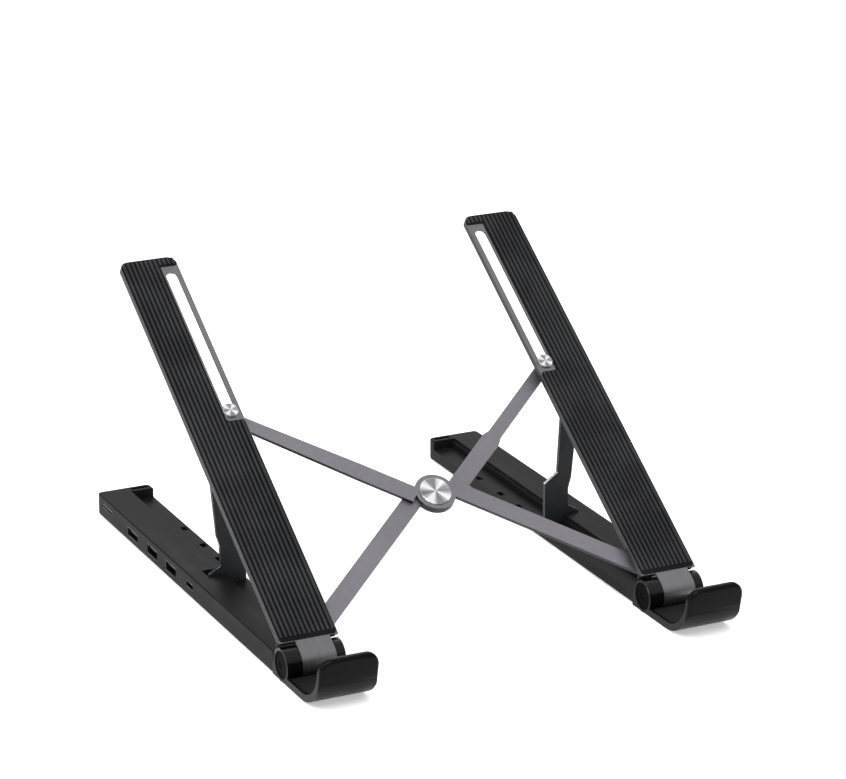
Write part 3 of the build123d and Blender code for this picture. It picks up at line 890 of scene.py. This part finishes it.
    @staticmethod
    def add_to(piece: bpy.types.Object, node: str) -> None:
        """Ride with a node's body as extra detail on it."""
        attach(piece, frame["nodes"][node]["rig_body"])
        LOG.info("%s: %d faces of detail", piece.name, len(piece.data.polygons))

    @staticmethod
    def dress_node(node: str, finish: Finish) -> None:
        """Give a carried-over CAD node its finish."""
        carried = frame["nodes"][node]
        if not carried.material_slots:
            carried.data.materials.append(finish.material())
        for holder in carried.material_slots:
            holder.material = finish.material()
        LOG.info("%s: carried over in %s", node, finish.name)


class Copies:
    """Geometry Nodes trees that copy a unit; subclasses say what points the copies stand on."""

    NAME = ""
    SOCKETS: tuple[tuple[str, str], ...] = ()
    RESULT = ""

    @classmethod
    def tree(cls) -> bpy.types.NodeTree:
        """Build the tree, or return the one already built.

        Returns:
            The geometry node group, which ends in Realize Instances and Set Material.
        """
        known = bpy.data.node_groups.get(cls.NAME)
        if known is not None:
            return known
        tree = bpy.data.node_groups.new(cls.NAME, "GeometryNodeTree")
        for label, kind in cls.SOCKETS:
            tree.interface.new_socket(label, in_out="INPUT", socket_type=kind)
        tree.interface.new_socket(cls.RESULT, in_out="OUTPUT", socket_type="NodeSocketGeometry")
        graph = Graph(tree)
        given = graph.add("NodeGroupInput").outputs
        copies = graph.fed("GeometryNodeInstanceOnPoints", cls.points(graph, given))
        real = graph.fed("GeometryNodeRealizeInstances", {"Geometry": copies["Instances"]})
        dressed = {"Geometry": real["Geometry"], "Material": given["Finish"]}
        coat = graph.fed("GeometryNodeSetMaterial", dressed)
        leave = graph.add("NodeGroupOutput")
        graph.feed(leave.inputs[cls.RESULT], coat["Geometry"])
        return tree

    @staticmethod
    def points(graph: Graph, given: object) -> dict[str, Socket]:
        """The inputs of Instance on Points."""
        raise NotImplementedError

    @classmethod
    def settle(cls, piece: bpy.types.Object, values: Mapping[str, object]) -> None:
        """Run the tree on a piece and keep the result as plain mesh.

        Args:
            piece: the object.
            values: named inputs of the tree.
        """
        tree = cls.tree()
        ids = {item.name: item.identifier for item in tree.interface.items_tree if item.in_out == "INPUT"}
        tool = piece.modifiers.new("copies", "NODES")
        tool.node_group = tree
        for name, value in values.items():
            tool[ids[name]] = value
        Shop.settle(piece)
        Shop.shade(piece, 40.0)


class RowTree(Copies):
    """Repeats the piece's own mesh in a straight row."""

    NAME = "row of copies"
    SOCKETS = (
        ("Unit", "NodeSocketGeometry"), ("Count", "NodeSocketInt"), ("Start", V), ("Step", V),
        ("Turn", "NodeSocketRotation"), ("Finish", "NodeSocketMaterial"),
    )
    RESULT = "Row"

    @staticmethod
    def points(graph: Graph, given: object) -> dict[str, Socket]:
        """Points along a line, each with the turned unit."""
        run = {"Count": given["Count"], "Start Location": given["Start"], "Offset": given["Step"]}
        line = graph.fed("GeometryNodeMeshLine", run, mode="OFFSET")
        return {"Points": line["Mesh"], "Instance": given["Unit"], "Rotation": given["Turn"]}

    @classmethod
    def repeat(cls, unit: bpy.types.Object, count: int, place: Matrix, step: Vector, finish: Finish) -> None:
        """Turn a unit built at the origin into a settled row.

        Args:
            unit: the object whose mesh is repeated; it becomes the row.
            count: how many copies.
            place: turn and place of the first copy.
            step: offset from one copy to the next, in the shared frame.
            finish: the row's finish.
        """
        start, turn = place.to_translation()[:], place.to_euler()[:]
        values = {"Count": count, "Start": start, "Step": step[:], "Turn": turn, "Finish": finish.material()}
        cls.settle(unit, values)


class SpotTree(Copies):
    """Sets a turned unit on every vertex of the piece's mesh."""

    NAME = "copies on spots"
    SOCKETS = (
        ("Spots", "NodeSocketGeometry"), ("Unit", "NodeSocketObject"), ("Finish", "NodeSocketMaterial"),
    )
    RESULT = "Pieces"

    @staticmethod
    def points(graph: Graph, given: object) -> dict[str, Socket]:
        """The mesh's own points, each with the unit object's mesh."""
        unit = graph.fed("GeometryNodeObjectInfo", {"Object": given["Unit"]})
        return {"Points": given["Spots"], "Instance": unit["Geometry"]}

    @classmethod
    def scatter(
        cls, name: str, unit: bpy.types.Object, spots: Iterable[Vector], finish: Finish,
    ) -> bpy.types.Object:
        """Set a unit on each spot and drop the unit itself.

        Args:
            name: the new object's name.
            unit: the object that is copied, built at the origin.
            spots: where the copies stand.
            finish: their finish.

        Returns:
            One object with every copy.
        """
        mesh = bpy.data.meshes.new(name)
        mesh.from_pydata([spot[:] for spot in spots], [], [])
        made = Shop.new_object(name, mesh)
        cls.settle(made, {"Unit": unit, "Finish": finish.material()})
        bpy.data.objects.remove(unit)
        return made


def slab(name: str, size: Vector, rounding: float) -> bpy.types.Object:
    """Rounded bar centred on the origin, for units that are repeated.

    Args:
        name: the object's name.
        size: its full size.
        rounding: radius of its long upper edges.

    Returns:
        The bar, built across X, along Y, with its round edges up.
    """
    half = size / 2
    steps = 5
    outline = [(-half.x, -half.z), (half.x, -half.z)]
    for corner, start in ((half.x - rounding, 0.0), (-half.x + rounding, 90.0)):
        for i in range(steps):
            angle = math.radians(start + 90.0 * i / (steps - 1))
            rise = half.z - rounding + rounding * math.sin(angle)
            outline.append((corner + rounding * math.cos(angle), rise))
    shape = bmesh.new()
    ends = [[shape.verts.new((x, y, z)) for x, z in outline] for y in (-half.y, half.y)]
    shape.faces.new(ends[0])
    shape.faces.new(ends[1][::-1])
    for i in range(len(outline)):
        j = (i + 1) % len(outline)
        shape.faces.new((ends[0][i], ends[1][i], ends[1][j], ends[0][j]))
    return Shop.from_bmesh(name, shape)


# ---- sub-assemblies ---------------------------------------------------------------


@dataclass
class BaseBar:
    """One base bar with its hook, barrel rings, cover, feet, pins and screws."""

    side: Side
    ring_reach: float = 8.6 * MM
    hook_behind: float = 0.4 * MM
    edge_width: float = 0.38 * MM
    screw_radius: float = 1.25 * MM
    disc_rim: float = 0.7 * MM

    def build(self) -> None:
        """Build every piece of the bar."""
        self.housing()
        self.barrel_discs()
        self.underside()
        self.fasteners()

    def name(self, piece: str) -> str:
        """CAD node name of a piece on this side."""
        return f"{self.side.value}_{piece}"

    def housing(self) -> None:
        """Bar, hook and rings, each with its own finish, with a painted highlight stripe on the rounded
        edges.
        """
        piece = Shop.copy_node(self.name("base_housing"), self.name("housing_shell"))
        hinge = ARM.hinge

        def rule(centre: Vector, normal: Vector) -> int:
            """Rings near the axis, hook in front of it, bar behind."""
            off = math.hypot(centre.y - hinge.y, centre.z - hinge.z)
            if off < self.ring_reach and centre.y < hinge.y + self.ring_reach:
                return 2
            return 1 if centre.y < hinge.y + self.hook_behind else 0

        Shop.wear(piece, Dress.BASE, Dress.HOOK, Dress.RING, Dress.BASE_EDGE)
        Shop.paint(piece, rule)
        Shop.chamfer(piece, self.edge_width, 3)
        Shop.stand_for(piece, self.name("base_housing"))
        Shop.soft_copy(self.name("hook_lining"), self.name("hook_lining_sheet"), Dress.LINING, 0.2 * MM)

    def barrel_discs(self) -> None:
        """The two discs in the barrel's ends, each with a raised rim and a shallow dish."""
        low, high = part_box(self.name("hinge_caps"))
        radius = (high.z - low.z) / 2
        centre = Vector((0.0, (low.y + high.y) / 2, (low.z + high.z) / 2))
        thick = 1.0 * MM
        rim = self.disc_rim
        profile = [
            (0.0, 0.0), (radius, 0.0), (radius, thick - 0.15 * MM), (radius - 0.15 * MM, thick),
            (radius - rim, thick), (radius - rim - 0.25 * MM, thick - 0.22 * MM),
            (radius * 0.3, thick - 0.22 * MM), (radius * 0.24, thick - 0.45 * MM), (0.0, thick - 0.45 * MM),
        ]
        shape = bmesh.new()
        for x, toward in ((low.x + thick, -1.0), (high.x - thick, 1.0)):
            turn = Matrix.Rotation(toward * math.pi / 2, 4, "Y")
            disc = Shop.lathe("disc", profile, Matrix.Translation((x, centre.y, centre.z)) @ turn)
            shape.from_mesh(disc.data)
            bpy.data.objects.remove(disc)
        piece = Shop.from_bmesh(self.name("barrel_discs"), shape)
        Shop.shade(piece, 28.0)
        Shop.wear(piece, Dress.CAP)
        Shop.stand_for(piece, self.name("hinge_caps"))

    def underside(self) -> None:
        """Bottom cover and the rubber feet, with softened edges."""
        Shop.soft_copy(self.name("bottom_cover"), self.name("cover_panel"), Dress.COVER, 0.2 * MM)
        Shop.soft_copy(self.name("rubber_feet"), self.name("foot_strips"), Dress.FOOT, 0.15 * MM)

    def fasteners(self) -> None:
        """Cover screws with a cross recess, set on their spots, and the plain pins."""
        low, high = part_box(self.name("cover_screws"))
        radius = self.screw_radius
        depth = high.z - low.z
        spots = self.screw_spots()
        profile = [
            (0.0, depth), (radius, depth), (radius, 0.25 * MM), (radius * 0.8, 0.0), (0.62 * MM, 0.0),
            (0.42 * MM, 0.5 * MM), (0.0, 0.55 * MM),
        ]
        unit = Shop.lathe("screw_unit", profile, Matrix.Identity(4), steps=24)
        spots = [Vector((x, y, low.z)) for x, y in spots]
        screws = SpotTree.scatter(self.name("screw_heads"), unit, spots, Dress.SCREW)
        Shop.stand_for(screws, self.name("cover_screws"))
        Shop.dress_node(self.name("hinge_pin"), Dress.PIN)
        Shop.dress_node(self.name("strut_pin"), Dress.PIN)

    def screw_spots(self) -> list[tuple[float, float]]:
        """Centres of the screws, from the CAD node's loose pieces."""
        points = [vertex.co for vertex in frame["nodes"][self.name("cover_screws")].data.vertices]
        groups: list[list[Vector]] = []
        for point in sorted(points, key=lambda p: p.y):
            if not groups or point.y - groups[-1][-1].y > 10 * MM:
                groups.append([])
            groups[-1].append(point)
        spots = []
        for group in groups:
            xs = [p.x for p in group]
            ys = [p.y for p in group]
            spots.append(((min(xs) + max(xs)) / 2, (min(ys) + max(ys)) / 2))
        return spots


@dataclass
class PaddedArm:
    """One arm: plate with its knuckle, ribbed pad, lower brace rivet and spacer."""

    side: Side
    ribs: int = 12
    rib_width: float = 1.15 * MM
    rib_rise: float = 0.7 * MM
    rib_root: float = 0.3
    rib_round: float = 0.42
    corner: float = 3.6 * MM
    corner_gap: float = 0.3 * MM
    end_gap: float = 0.9 * MM
    slot_end_gap: float = 0.6 * MM
    rim: float = 0.75 * MM
    border: float = 2.0 * MM
    slot_reach: float = 15.0 * MM
    slot_middle: float = 180.0 * MM
    inner_strip: float = 3.0 * MM
    edge_width: float = 0.48 * MM

    def build(self) -> None:
        """Build every piece of the arm."""
        self.plate()
        self.pad()
        self.rivet()

    def name(self, piece: str) -> str:
        """CAD node name of a piece on this side."""
        return f"{self.side.value}_{piece}"

    def plate(self) -> None:
        """Plate and knuckle; the thin flange sides carry painted shade, darker than the face."""
        piece = Shop.copy_node(self.name("arm_plate"), self.name("arm_shell"))

        def rule(centre: Vector, normal: Vector) -> int:
            """The flange's outer sides take the darker finish, painted shade."""
            return 1 if abs(normal.x) > 0.9 and ARM.read(centre).y > 9 * MM else 0

        Shop.wear(piece, Dress.ARM, Dress.ARM_SIDE_SHADE, Dress.ARM_EDGE)
        Shop.paint(piece, rule)
        Shop.chamfer(piece, self.edge_width, 2)
        Shop.stand_for(piece, self.name("arm_plate"))

    def pad(self) -> None:
        """Rubber pad: a low body with rows of ribs on it, joined into one piece."""
        node = self.name("arm_pad")
        low, high = ARM.extent(node)
        body = Shop.copy_node(node, self.name("pad_body"))
        floor = high.z - self.rib_rise
        middle = (low.z + high.z) / 2
        for vertex in body.data.vertices:
            if ARM.read(vertex.co).z > middle:
                vertex.co -= ARM.normal * self.rib_rise
        # The body takes the darker rubber: painted shade in the grooves between the ribs.
        Shop.wear(body, Dress.PAD)
        Shop.chamfer(body, 0.2 * MM, -1)
        pitch = (high.x - low.x - 2 * self.rim - self.rib_width) / (self.ribs - 1)
        rows = []
        sunk = self.rib_rise * self.rib_root
        height = floor + (self.rib_rise - sunk) / 2
        for first, count, start, end in self.spans(low, high, pitch):
            size = Vector((self.rib_width, end - start, self.rib_rise + sunk))
            unit = slab("rib_unit", size, self.rib_width * self.rib_round)
            place = ARM.place(first, (start + end) / 2, height)
            RowTree.repeat(unit, count, place, Vector((pitch, 0.0, 0.0)), Dress.RIB)
            rows.append(unit)
        piece = self.join(body, rows, self.name("ribbed_pad"))
        Shop.stand_for(piece, node)

    def spans(self, low: Vector, high: Vector, pitch: float) -> list[tuple[float, int, float, float]]:
        """Rows of ribs that fit the pad's outline.

        Args:
            low: lowest (x, u, n) of the pad.
            high: highest.
            pitch: distance from rib to rib.

        Returns:
            For each row the first rib's x, the count, and where the ribs start and end.
        """
        points = [ARM.read(v.co) for v in frame["nodes"][self.name("arm_pad")].data.vertices]
        inner_x = low.x if self.side is Side.RIGHT else high.x
        cut = max(abs(p.x - inner_x) for p in points if abs(p.x - inner_x) < self.slot_reach)
        along_inner = [p.y for p in points if abs(p.x - inner_x) < self.inner_strip]
        lower_end = max(u for u in along_inner if u < self.slot_middle)
        upper_start = min(u for u in along_inner if u > self.slot_middle)
        full = (low.y + self.border, high.y - self.end_gap)
        first = low.x + self.rim + self.rib_width / 2
        centres = [first + i * pitch for i in range(self.ribs)]
        inside = [x for x in centres if abs(x - inner_x) < cut + self.rib_width * 0.75]
        outside = [x for x in centres if x not in inside]
        return [
            (min(outside), len(outside), *full),
            (min(inside), len(inside), full[0], lower_end - self.end_gap),
            (min(inside), len(inside), upper_start + self.slot_end_gap, full[1]),
        ]

    def join(
        self, body: bpy.types.Object, rows: Sequence[bpy.types.Object], name: str,
    ) -> bpy.types.Object:
        """One object from the pad's body and its ribs.

        Args:
            body: the pad's body.
            rows: the settled rows of ribs.
            name: the new object's name.

        Returns:
            The joined pad, with the body in slot 0 and the ribs in slot 1.
        """
        low, high = ARM.extent(self.name("arm_pad"))
        shape = bmesh.new()
        shape.from_mesh(body.data)
        for face in shape.faces:
            face.material_index = 0
        for row in rows:
            before = len(shape.faces)
            shape.from_mesh(row.data)
            shape.faces.ensure_lookup_table()
            for face in shape.faces[before:]:
                face.material_index = 1
                face.smooth = True
        for vertex in shape.verts:
            self.trim(vertex, low, high)
        for used in (body, *rows):
            bpy.data.objects.remove(used)
        piece = Shop.new_object(name, bpy.data.meshes.new(name))
        Shop.wear(piece, Dress.PAD, Dress.RIB)
        shape.to_mesh(piece.data)
        shape.free()
        Shop.shade(piece, 40.0)
        return piece

    def trim(self, vertex: bmesh.types.BMVert, low: Vector, high: Vector) -> None:
        """Draw the ends of the outer ribs in behind the pad's rounded back corners."""
        corner = self.corner
        place = ARM.read(vertex.co)
        for edge in (low.x, high.x):
            centre = edge + math.copysign(corner, (low.x + high.x) / 2 - edge)
            reach = (edge - centre) * (place.x - centre)
            if reach > 0 and place.y > high.y - corner:
                room = math.sqrt(max(corner ** 2 - (place.x - centre) ** 2, 0.0))
                limit = high.y - corner + room - self.corner_gap
                if place.y > limit:
                    vertex.co += ARM.along * (limit - place.y)

    def rivet(self) -> None:
        """Brace pivot rivet with a domed head under the bar, and its spacer."""
        node = self.name("pivot_rivet")
        low, high = ARM.extent(node)
        x, u, _ = ARM.centre(node)
        shank = 1.6 * MM
        head = (high.x - low.x) / 2
        rise = 0.6 * MM
        tall = high.z - low.z
        profile = [
            (0.0, 0.0), (head * 0.7, 0.06 * MM), (head * 0.95, 0.25 * MM), (head, rise), (shank, rise),
            (shank, tall - 0.15 * MM), (shank - 0.15 * MM, tall), (0.0, tall),
        ]
        piece = Shop.lathe(self.name("brace_rivet"), profile, ARM.place(x, u, low.z))
        Shop.wear(piece, Dress.PIN)
        Shop.stand_for(piece, node)
        Turned(self.name("pivot_spacer"), 1.62 * MM).build()


@dataclass
class Turned:
    """A nylon washer or spacer, turned with broken edges and a shallow waist groove."""

    node: str
    bore: float

    def build(self) -> None:
        """Build the ring in place of its CAD node."""
        low, high = ARM.extent(self.node)
        x, u, _ = ARM.centre(self.node)
        outer = (high.x - low.x) / 2
        tall = high.z - low.z
        nick = min(0.15 * MM, tall * 0.2)
        profile = [
            (self.bore, nick), (self.bore + nick, 0.0), (outer - nick, 0.0), (outer, nick),
            (outer, tall * 0.4), (outer - nick * 0.6, tall * 0.5), (outer, tall * 0.6), (outer, tall - nick),
            (outer - nick, tall), (self.bore + nick, tall), (self.bore, tall - nick),
        ]
        piece = Shop.lathe(f"{self.node}_ring", profile, ARM.place(x, u, low.z), ring=True)
        Shop.wear(piece, Dress.WASHER)
        Shop.stand_for(piece, self.node)


@dataclass
class PropStrut:
    """The upright prop under an arm."""

    side: Side
    edge_width: float = 0.4 * MM
    foot_height: float = 10.0 * MM

    def build(self) -> None:
        """Sheared plate whose sloping shoulder faces and rounded edges carry a painted highlight."""
        node = f"{self.side.value}_strut"
        piece = Shop.copy_node(node, f"{self.side.value}_prop")
        low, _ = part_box(node)
        foot = low.z + self.foot_height

        def rule(centre: Vector, normal: Vector) -> int:
            """Sloping shoulder and top faces above the foot take the painted highlight."""
            sloping = 0.25 < abs(normal.z) and abs(normal.x) > 0.2
            return 1 if sloping and centre.z > foot else 0

        Shop.wear(piece, Dress.STRUT, Dress.STRUT_HIGHLIGHT)
        Shop.paint(piece, rule)
        Shop.chamfer(piece, self.edge_width, 1)
        Shop.stand_for(piece, node)


@dataclass
class ScissorBrace:
    """The two crossed bars, their slide rivets and the capped hub."""

    cap_share: float = 0.94
    edge_width: float = 0.3 * MM
    head_radius: float = 3.9 * MM
    neck_radius: float = 2.68 * MM
    shank_radius: float = 2.0 * MM
    plate_top: float = 7.85 * MM
    spacer_top: float = 6.4 * MM

    def build(self) -> None:
        """Build every piece of the brace."""
        for name in ("upper", "lower"):
            self.bar(name)
            self.slide_rivet(name)
            Turned(f"{name}_slide_spacer", 2.02 * MM).build()
        Turned("hub_washer", 2.52 * MM).build()
        self.hub()

    def bar(self, name: str) -> None:
        """A flat bar whose sides are painted dark as shade.

        Args:
            name: upper or lower.
        """
        piece = Shop.copy_node(f"{name}_brace_bar", f"{name}_bar")

        def rule(centre: Vector, normal: Vector) -> int:
            """Faces square to the arm's normal are the sides, which take the painted shade."""
            return 0 if abs(normal.dot(ARM.normal)) > 0.7 else 1

        Shop.wear(piece, Dress.BRACE, Dress.BRACE_SIDE_SHADE, Dress.BRACE_EDGE)
        Shop.paint(piece, rule)
        Shop.chamfer(piece, self.edge_width, 2)
        Shop.stand_for(piece, f"{name}_brace_bar")

    def spun(self, name: str, place: Matrix, streaks: float) -> SpunMetal:
        """A spun finish with painted glints, centred on one disc.

        Args:
            name: the finish's name.
            place: the disc's own frame.
            streaks: how many rays.

        Returns:
            The finish.
        """
        return SpunMetal(name, place.to_translation()[:], place.to_euler()[:], streaks)

    def slide_rivet(self, name: str) -> None:
        """Rivet that runs in an arm's slot: spun head, neck in the slot, shank to the bar.

        Args:
            name: upper or lower.
        """
        node = f"{name}_slide_rivet"
        low, high = ARM.extent(node)
        x, u, _ = ARM.centre(node)
        place = ARM.place(x, u, 0.0)
        top = high.z
        under = self.plate_top
        head = self.head_radius
        profile = [
            (0.0, low.z), (self.shank_radius, low.z), (self.shank_radius, self.spacer_top),
            (self.neck_radius, self.spacer_top), (self.neck_radius, under), (head - 0.1 * MM, under),
            (head, under + 0.1 * MM), (head, top - 0.35 * MM), (head - 0.3 * MM, top - 0.04 * MM),
            (head - 0.5 * MM, top), (head - 0.8 * MM, top - 0.03 * MM), (0.5 * MM, top - 0.1 * MM),
            (0.25 * MM, top - 0.2 * MM), (0.0, top - 0.22 * MM),
        ]
        piece = Shop.lathe(f"{name}_slider", profile, place)
        # The rivet head's spun finish carries painted radial glints: painted highlight.
        Shop.wear(piece, self.spun(f"spun {name} rivet", place, 7.0))
        Shop.stand_for(piece, node)

    def hub(self) -> None:
        """Spun cap over the hub rivet, and the rivet's head underneath."""
        low, high = ARM.extent("hub_cap")
        x, u, _ = ARM.centre("hub_cap")
        place = ARM.place(x, u, 0.0)
        radius = (high.x - low.x) / 2 * self.cap_share
        top = high.z
        profile = [
            (0.0, low.z), (radius, low.z), (radius, top - 0.3 * MM), (radius - 0.1 * MM, top - 0.12 * MM),
            (radius - 0.35 * MM, top), (radius - 0.75 * MM, top), (radius - 0.95 * MM, top - 0.1 * MM),
            (radius * 0.5, top - 0.14 * MM), (0.0, top - 0.16 * MM),
        ]
        cap = Shop.lathe("spun_hub_cap", profile, place, steps=96)
        # The cap's spun finish carries painted radial glints: painted highlight.
        Shop.wear(cap, self.spun("hub cap face, spun with painted glints", place, 5.0))
        Shop.stand_for(cap, "hub_cap")
        low, high = ARM.extent("hub_rivet")
        shank = 2.5 * MM
        head = (high.x - low.x) / 2
        rivet = Shop.lathe("hub_rivet_turned", [
            (0.0, low.z), (head * 0.8, low.z + 0.04 * MM), (head, low.z + 0.25 * MM),
            (head, low.z + 0.55 * MM), (shank, low.z + 0.55 * MM), (shank, high.z), (0.0, high.z),
        ], place)
        Shop.wear(rivet, Dress.PIN)
        Shop.stand_for(rivet, "hub_rivet")


@dataclass(frozen=True)
class Port:
    """One socket of the hub and its row of contacts."""

    node: str
    contacts: int
    pitch: float
    width: float
    length: float
    rise: float
    below: bool = True


@dataclass
class PortHub:
    """Board and sockets in the left bar."""

    tongue_setback: float = 1.25 * MM
    contact_thick: float = 0.12 * MM
    contact_round: float = 0.45
    contact_setback: float = 0.4 * MM
    shell_wall: float = 0.5 * MM
    ports: tuple[Port, ...] = field(default_factory=lambda: (
        Port("card_reader_socket", 9, 1.3 * MM, 0.7 * MM, 5.0 * MM, -0.55 * MM, False),
        Port("hdmi_socket", 10, 1.05 * MM, 0.5 * MM, 5.0 * MM, -0.45 * MM),
        Port("usb_a_socket_back", 4, 2.4 * MM, 1.1 * MM, 7.0 * MM, 0.05 * MM),
        Port("usb_a_socket_front", 4, 2.4 * MM, 1.1 * MM, 7.0 * MM, 0.05 * MM),
        Port("usb_c_socket", 8, 0.62 * MM, 0.3 * MM, 2.6 * MM, -0.35 * MM),
    ))

    def build(self) -> None:
        """Build the sockets' shells and contacts and dress the board."""
        for port in self.ports:
            self.shell(port)
            self.contact_row(port)
        Shop.dress_node("hub_circuit_board", Dress.BOARD)

    def shell(self, port: Port) -> None:
        """Plated shell with a black tongue inside.

        Args:
            port: the socket.
        """
        piece = Shop.copy_node(port.node, f"{port.node}_shell")
        low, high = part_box(port.node)
        wall = self.shell_wall

        def rule(centre: Vector, normal: Vector) -> int:
            """Faces well inside the shell belong to the tongue."""
            inside_x = low.x + 2 * wall < centre.x < high.x - wall
            inside_y = low.y + wall < centre.y < high.y - wall
            inside_z = low.z + wall < centre.z < high.z - wall
            return 1 if inside_x and inside_y and inside_z else 0

        Shop.wear(piece, Dress.SHELL, Dress.TONGUE)
        Shop.paint(piece, rule)
        Shop.chamfer(piece, 0.1 * MM, -1)
        Shop.stand_for(piece, port.node)

    def contact_row(self, port: Port) -> None:
        """Gold contacts in a row on the tongue.

        Args:
            port: the socket.
        """
        low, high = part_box(port.node)
        middle = (low + high) / 2
        size = Vector((port.width, port.length, self.contact_thick))
        unit = slab("contact_unit", size, self.contact_thick * self.contact_round)
        run = (port.contacts - 1) * port.pitch
        x = low.x + self.tongue_setback + self.contact_setback + port.length / 2
        turn = Matrix.Rotation(math.pi / 2, 4, "Z")
        if port.below:
            turn = turn @ Matrix.Rotation(math.pi, 4, "Y")
        place = Matrix.Translation((x, middle.y - run / 2, middle.z + port.rise)) @ turn
        RowTree.repeat(unit, port.contacts, place, Vector((0.0, port.pitch, 0.0)), Dress.GOLD)
        unit.name = f"{port.node}_contacts"
        Shop.add_to(unit, port.node)


# ---- studio -------------------------------------------------------------------------


@dataclass(frozen=True)
class SoftBox:
    """A square area light aimed at the stand."""

    name: str
    spot: tuple[float, float, float]
    size: float
    power: float

    def build(self) -> None:
        """Hang the light."""
        light = bpy.data.lights.new(self.name, "AREA")
        light.size = self.size
        light.energy = self.power
        lamp = bpy.data.objects.new(self.name, light)
        bpy.context.scene.collection.objects.link(lamp)
        lamp.location = self.spot
        lamp.rotation_mode = "QUATERNION"
        aim = Vector((0.0, 0.0, 0.05)) - Vector(self.spot)
        lamp.rotation_quaternion = aim.to_track_quat("-Z", "Y")


@dataclass
class Studio:
    """Pale floor, plain soft light and the camera."""

    floor_size: float = 24.0
    camera_at: tuple[float, float, float] = (-0.6609, -1.3873, 0.6233)
    looks: tuple[float, float, float] = (0.411, 0.8513, -0.3263)
    lens: float = 146.37
    paper_glow: float = 0.42
    boxes: tuple[SoftBox, ...] = (
        SoftBox("key_box", (-0.7, -0.7, 1.5), 1.1, 16.0),
        SoftBox("side_box", (-1.5, 0.3, 0.8), 0.9, 7.0),
        SoftBox("back_box", (0.5, 1.5, 1.1), 1.2, 9.0),
    )
    horizon: Colour = (0.20, 0.20, 0.205)
    ceiling: Colour = (1.0, 1.0, 1.0)

    def build(self) -> None:
        """Build the floor, lights, surroundings and camera."""
        self.floor()
        for box in self.boxes:
            box.build()
        self.surroundings()
        self.camera()

    def floor(self) -> None:
        """A large pale plane under the feet."""
        half = self.floor_size / 2
        mesh = bpy.data.meshes.new("studio_floor")
        corners = [(-half, -half, 0), (half, -half, 0), (half, half, 0), (-half, half, 0)]
        mesh.from_pydata(corners, [], [(0, 1, 2, 3)])
        floor = Shop.new_object("studio_floor", mesh)
        paper = bpy.data.materials.new("pale paper")
        paper.use_nodes = True
        shader = paper.node_tree.nodes["Principled BSDF"].inputs
        shader["Base Color"].default_value = (0.93, 0.93, 0.93, 1.0)
        shader["Roughness"].default_value = 1.0
        shader["Specular IOR Level"].default_value = 0.0
        shader["Emission Color"].default_value = (1.0, 1.0, 1.0, 1.0)
        shader["Emission Strength"].default_value = self.paper_glow
        mesh.materials.append(paper)

    def surroundings(self) -> None:
        """A room that is bright overhead and dim near the horizon."""
        world = bpy.data.worlds.new("studio_room")
        bpy.context.scene.world = world
        world.use_nodes = True
        world.node_tree.nodes.clear()
        graph = Graph(world.node_tree)
        way = graph.add("ShaderNodeTexCoord").outputs["Generated"]
        height = graph.fed("ShaderNodeSeparateXYZ", {0: way})["Z"]
        rise = graph.remap(height, 0.05, 0.75, 0.0, 1.0)
        tone = graph.blend(rise, rgba(self.horizon), rgba(self.ceiling))
        room = graph.fed("ShaderNodeBackground", {"Color": tone, "Strength": 1.0})
        graph.fed("ShaderNodeOutputWorld", {"Surface": room["Background"]})

    def camera(self) -> None:
        """The camera, level and aimed along its own line."""
        lens = bpy.data.cameras.new("camera")
        lens.lens = self.lens
        lens.sensor_width = 36.0
        lens.clip_start = 0.05
        lens.clip_end = 60.0
        eye = bpy.data.objects.new("camera", lens)
        bpy.context.scene.collection.objects.link(eye)
        eye.location = self.camera_at
        eye.rotation_mode = "QUATERNION"
        eye.rotation_quaternion = Vector(self.looks).to_track_quat("-Z", "Y")
        scene = bpy.context.scene
        scene.camera = eye
        scene.view_settings.view_transform = "Standard"
        scene.view_settings.look = "None"


def main() -> None:
    """Build the stand piece by piece, then the studio round it."""
    logging.basicConfig(level=logging.INFO, format="%(name)s: %(message)s")
    for side in Side:
        BaseBar(side).build()
        PaddedArm(side).build()
        PropStrut(side).build()
    ScissorBrace().build()
    PortHub().build()
    Studio().build()


if __name__ == "__main__":
    main()
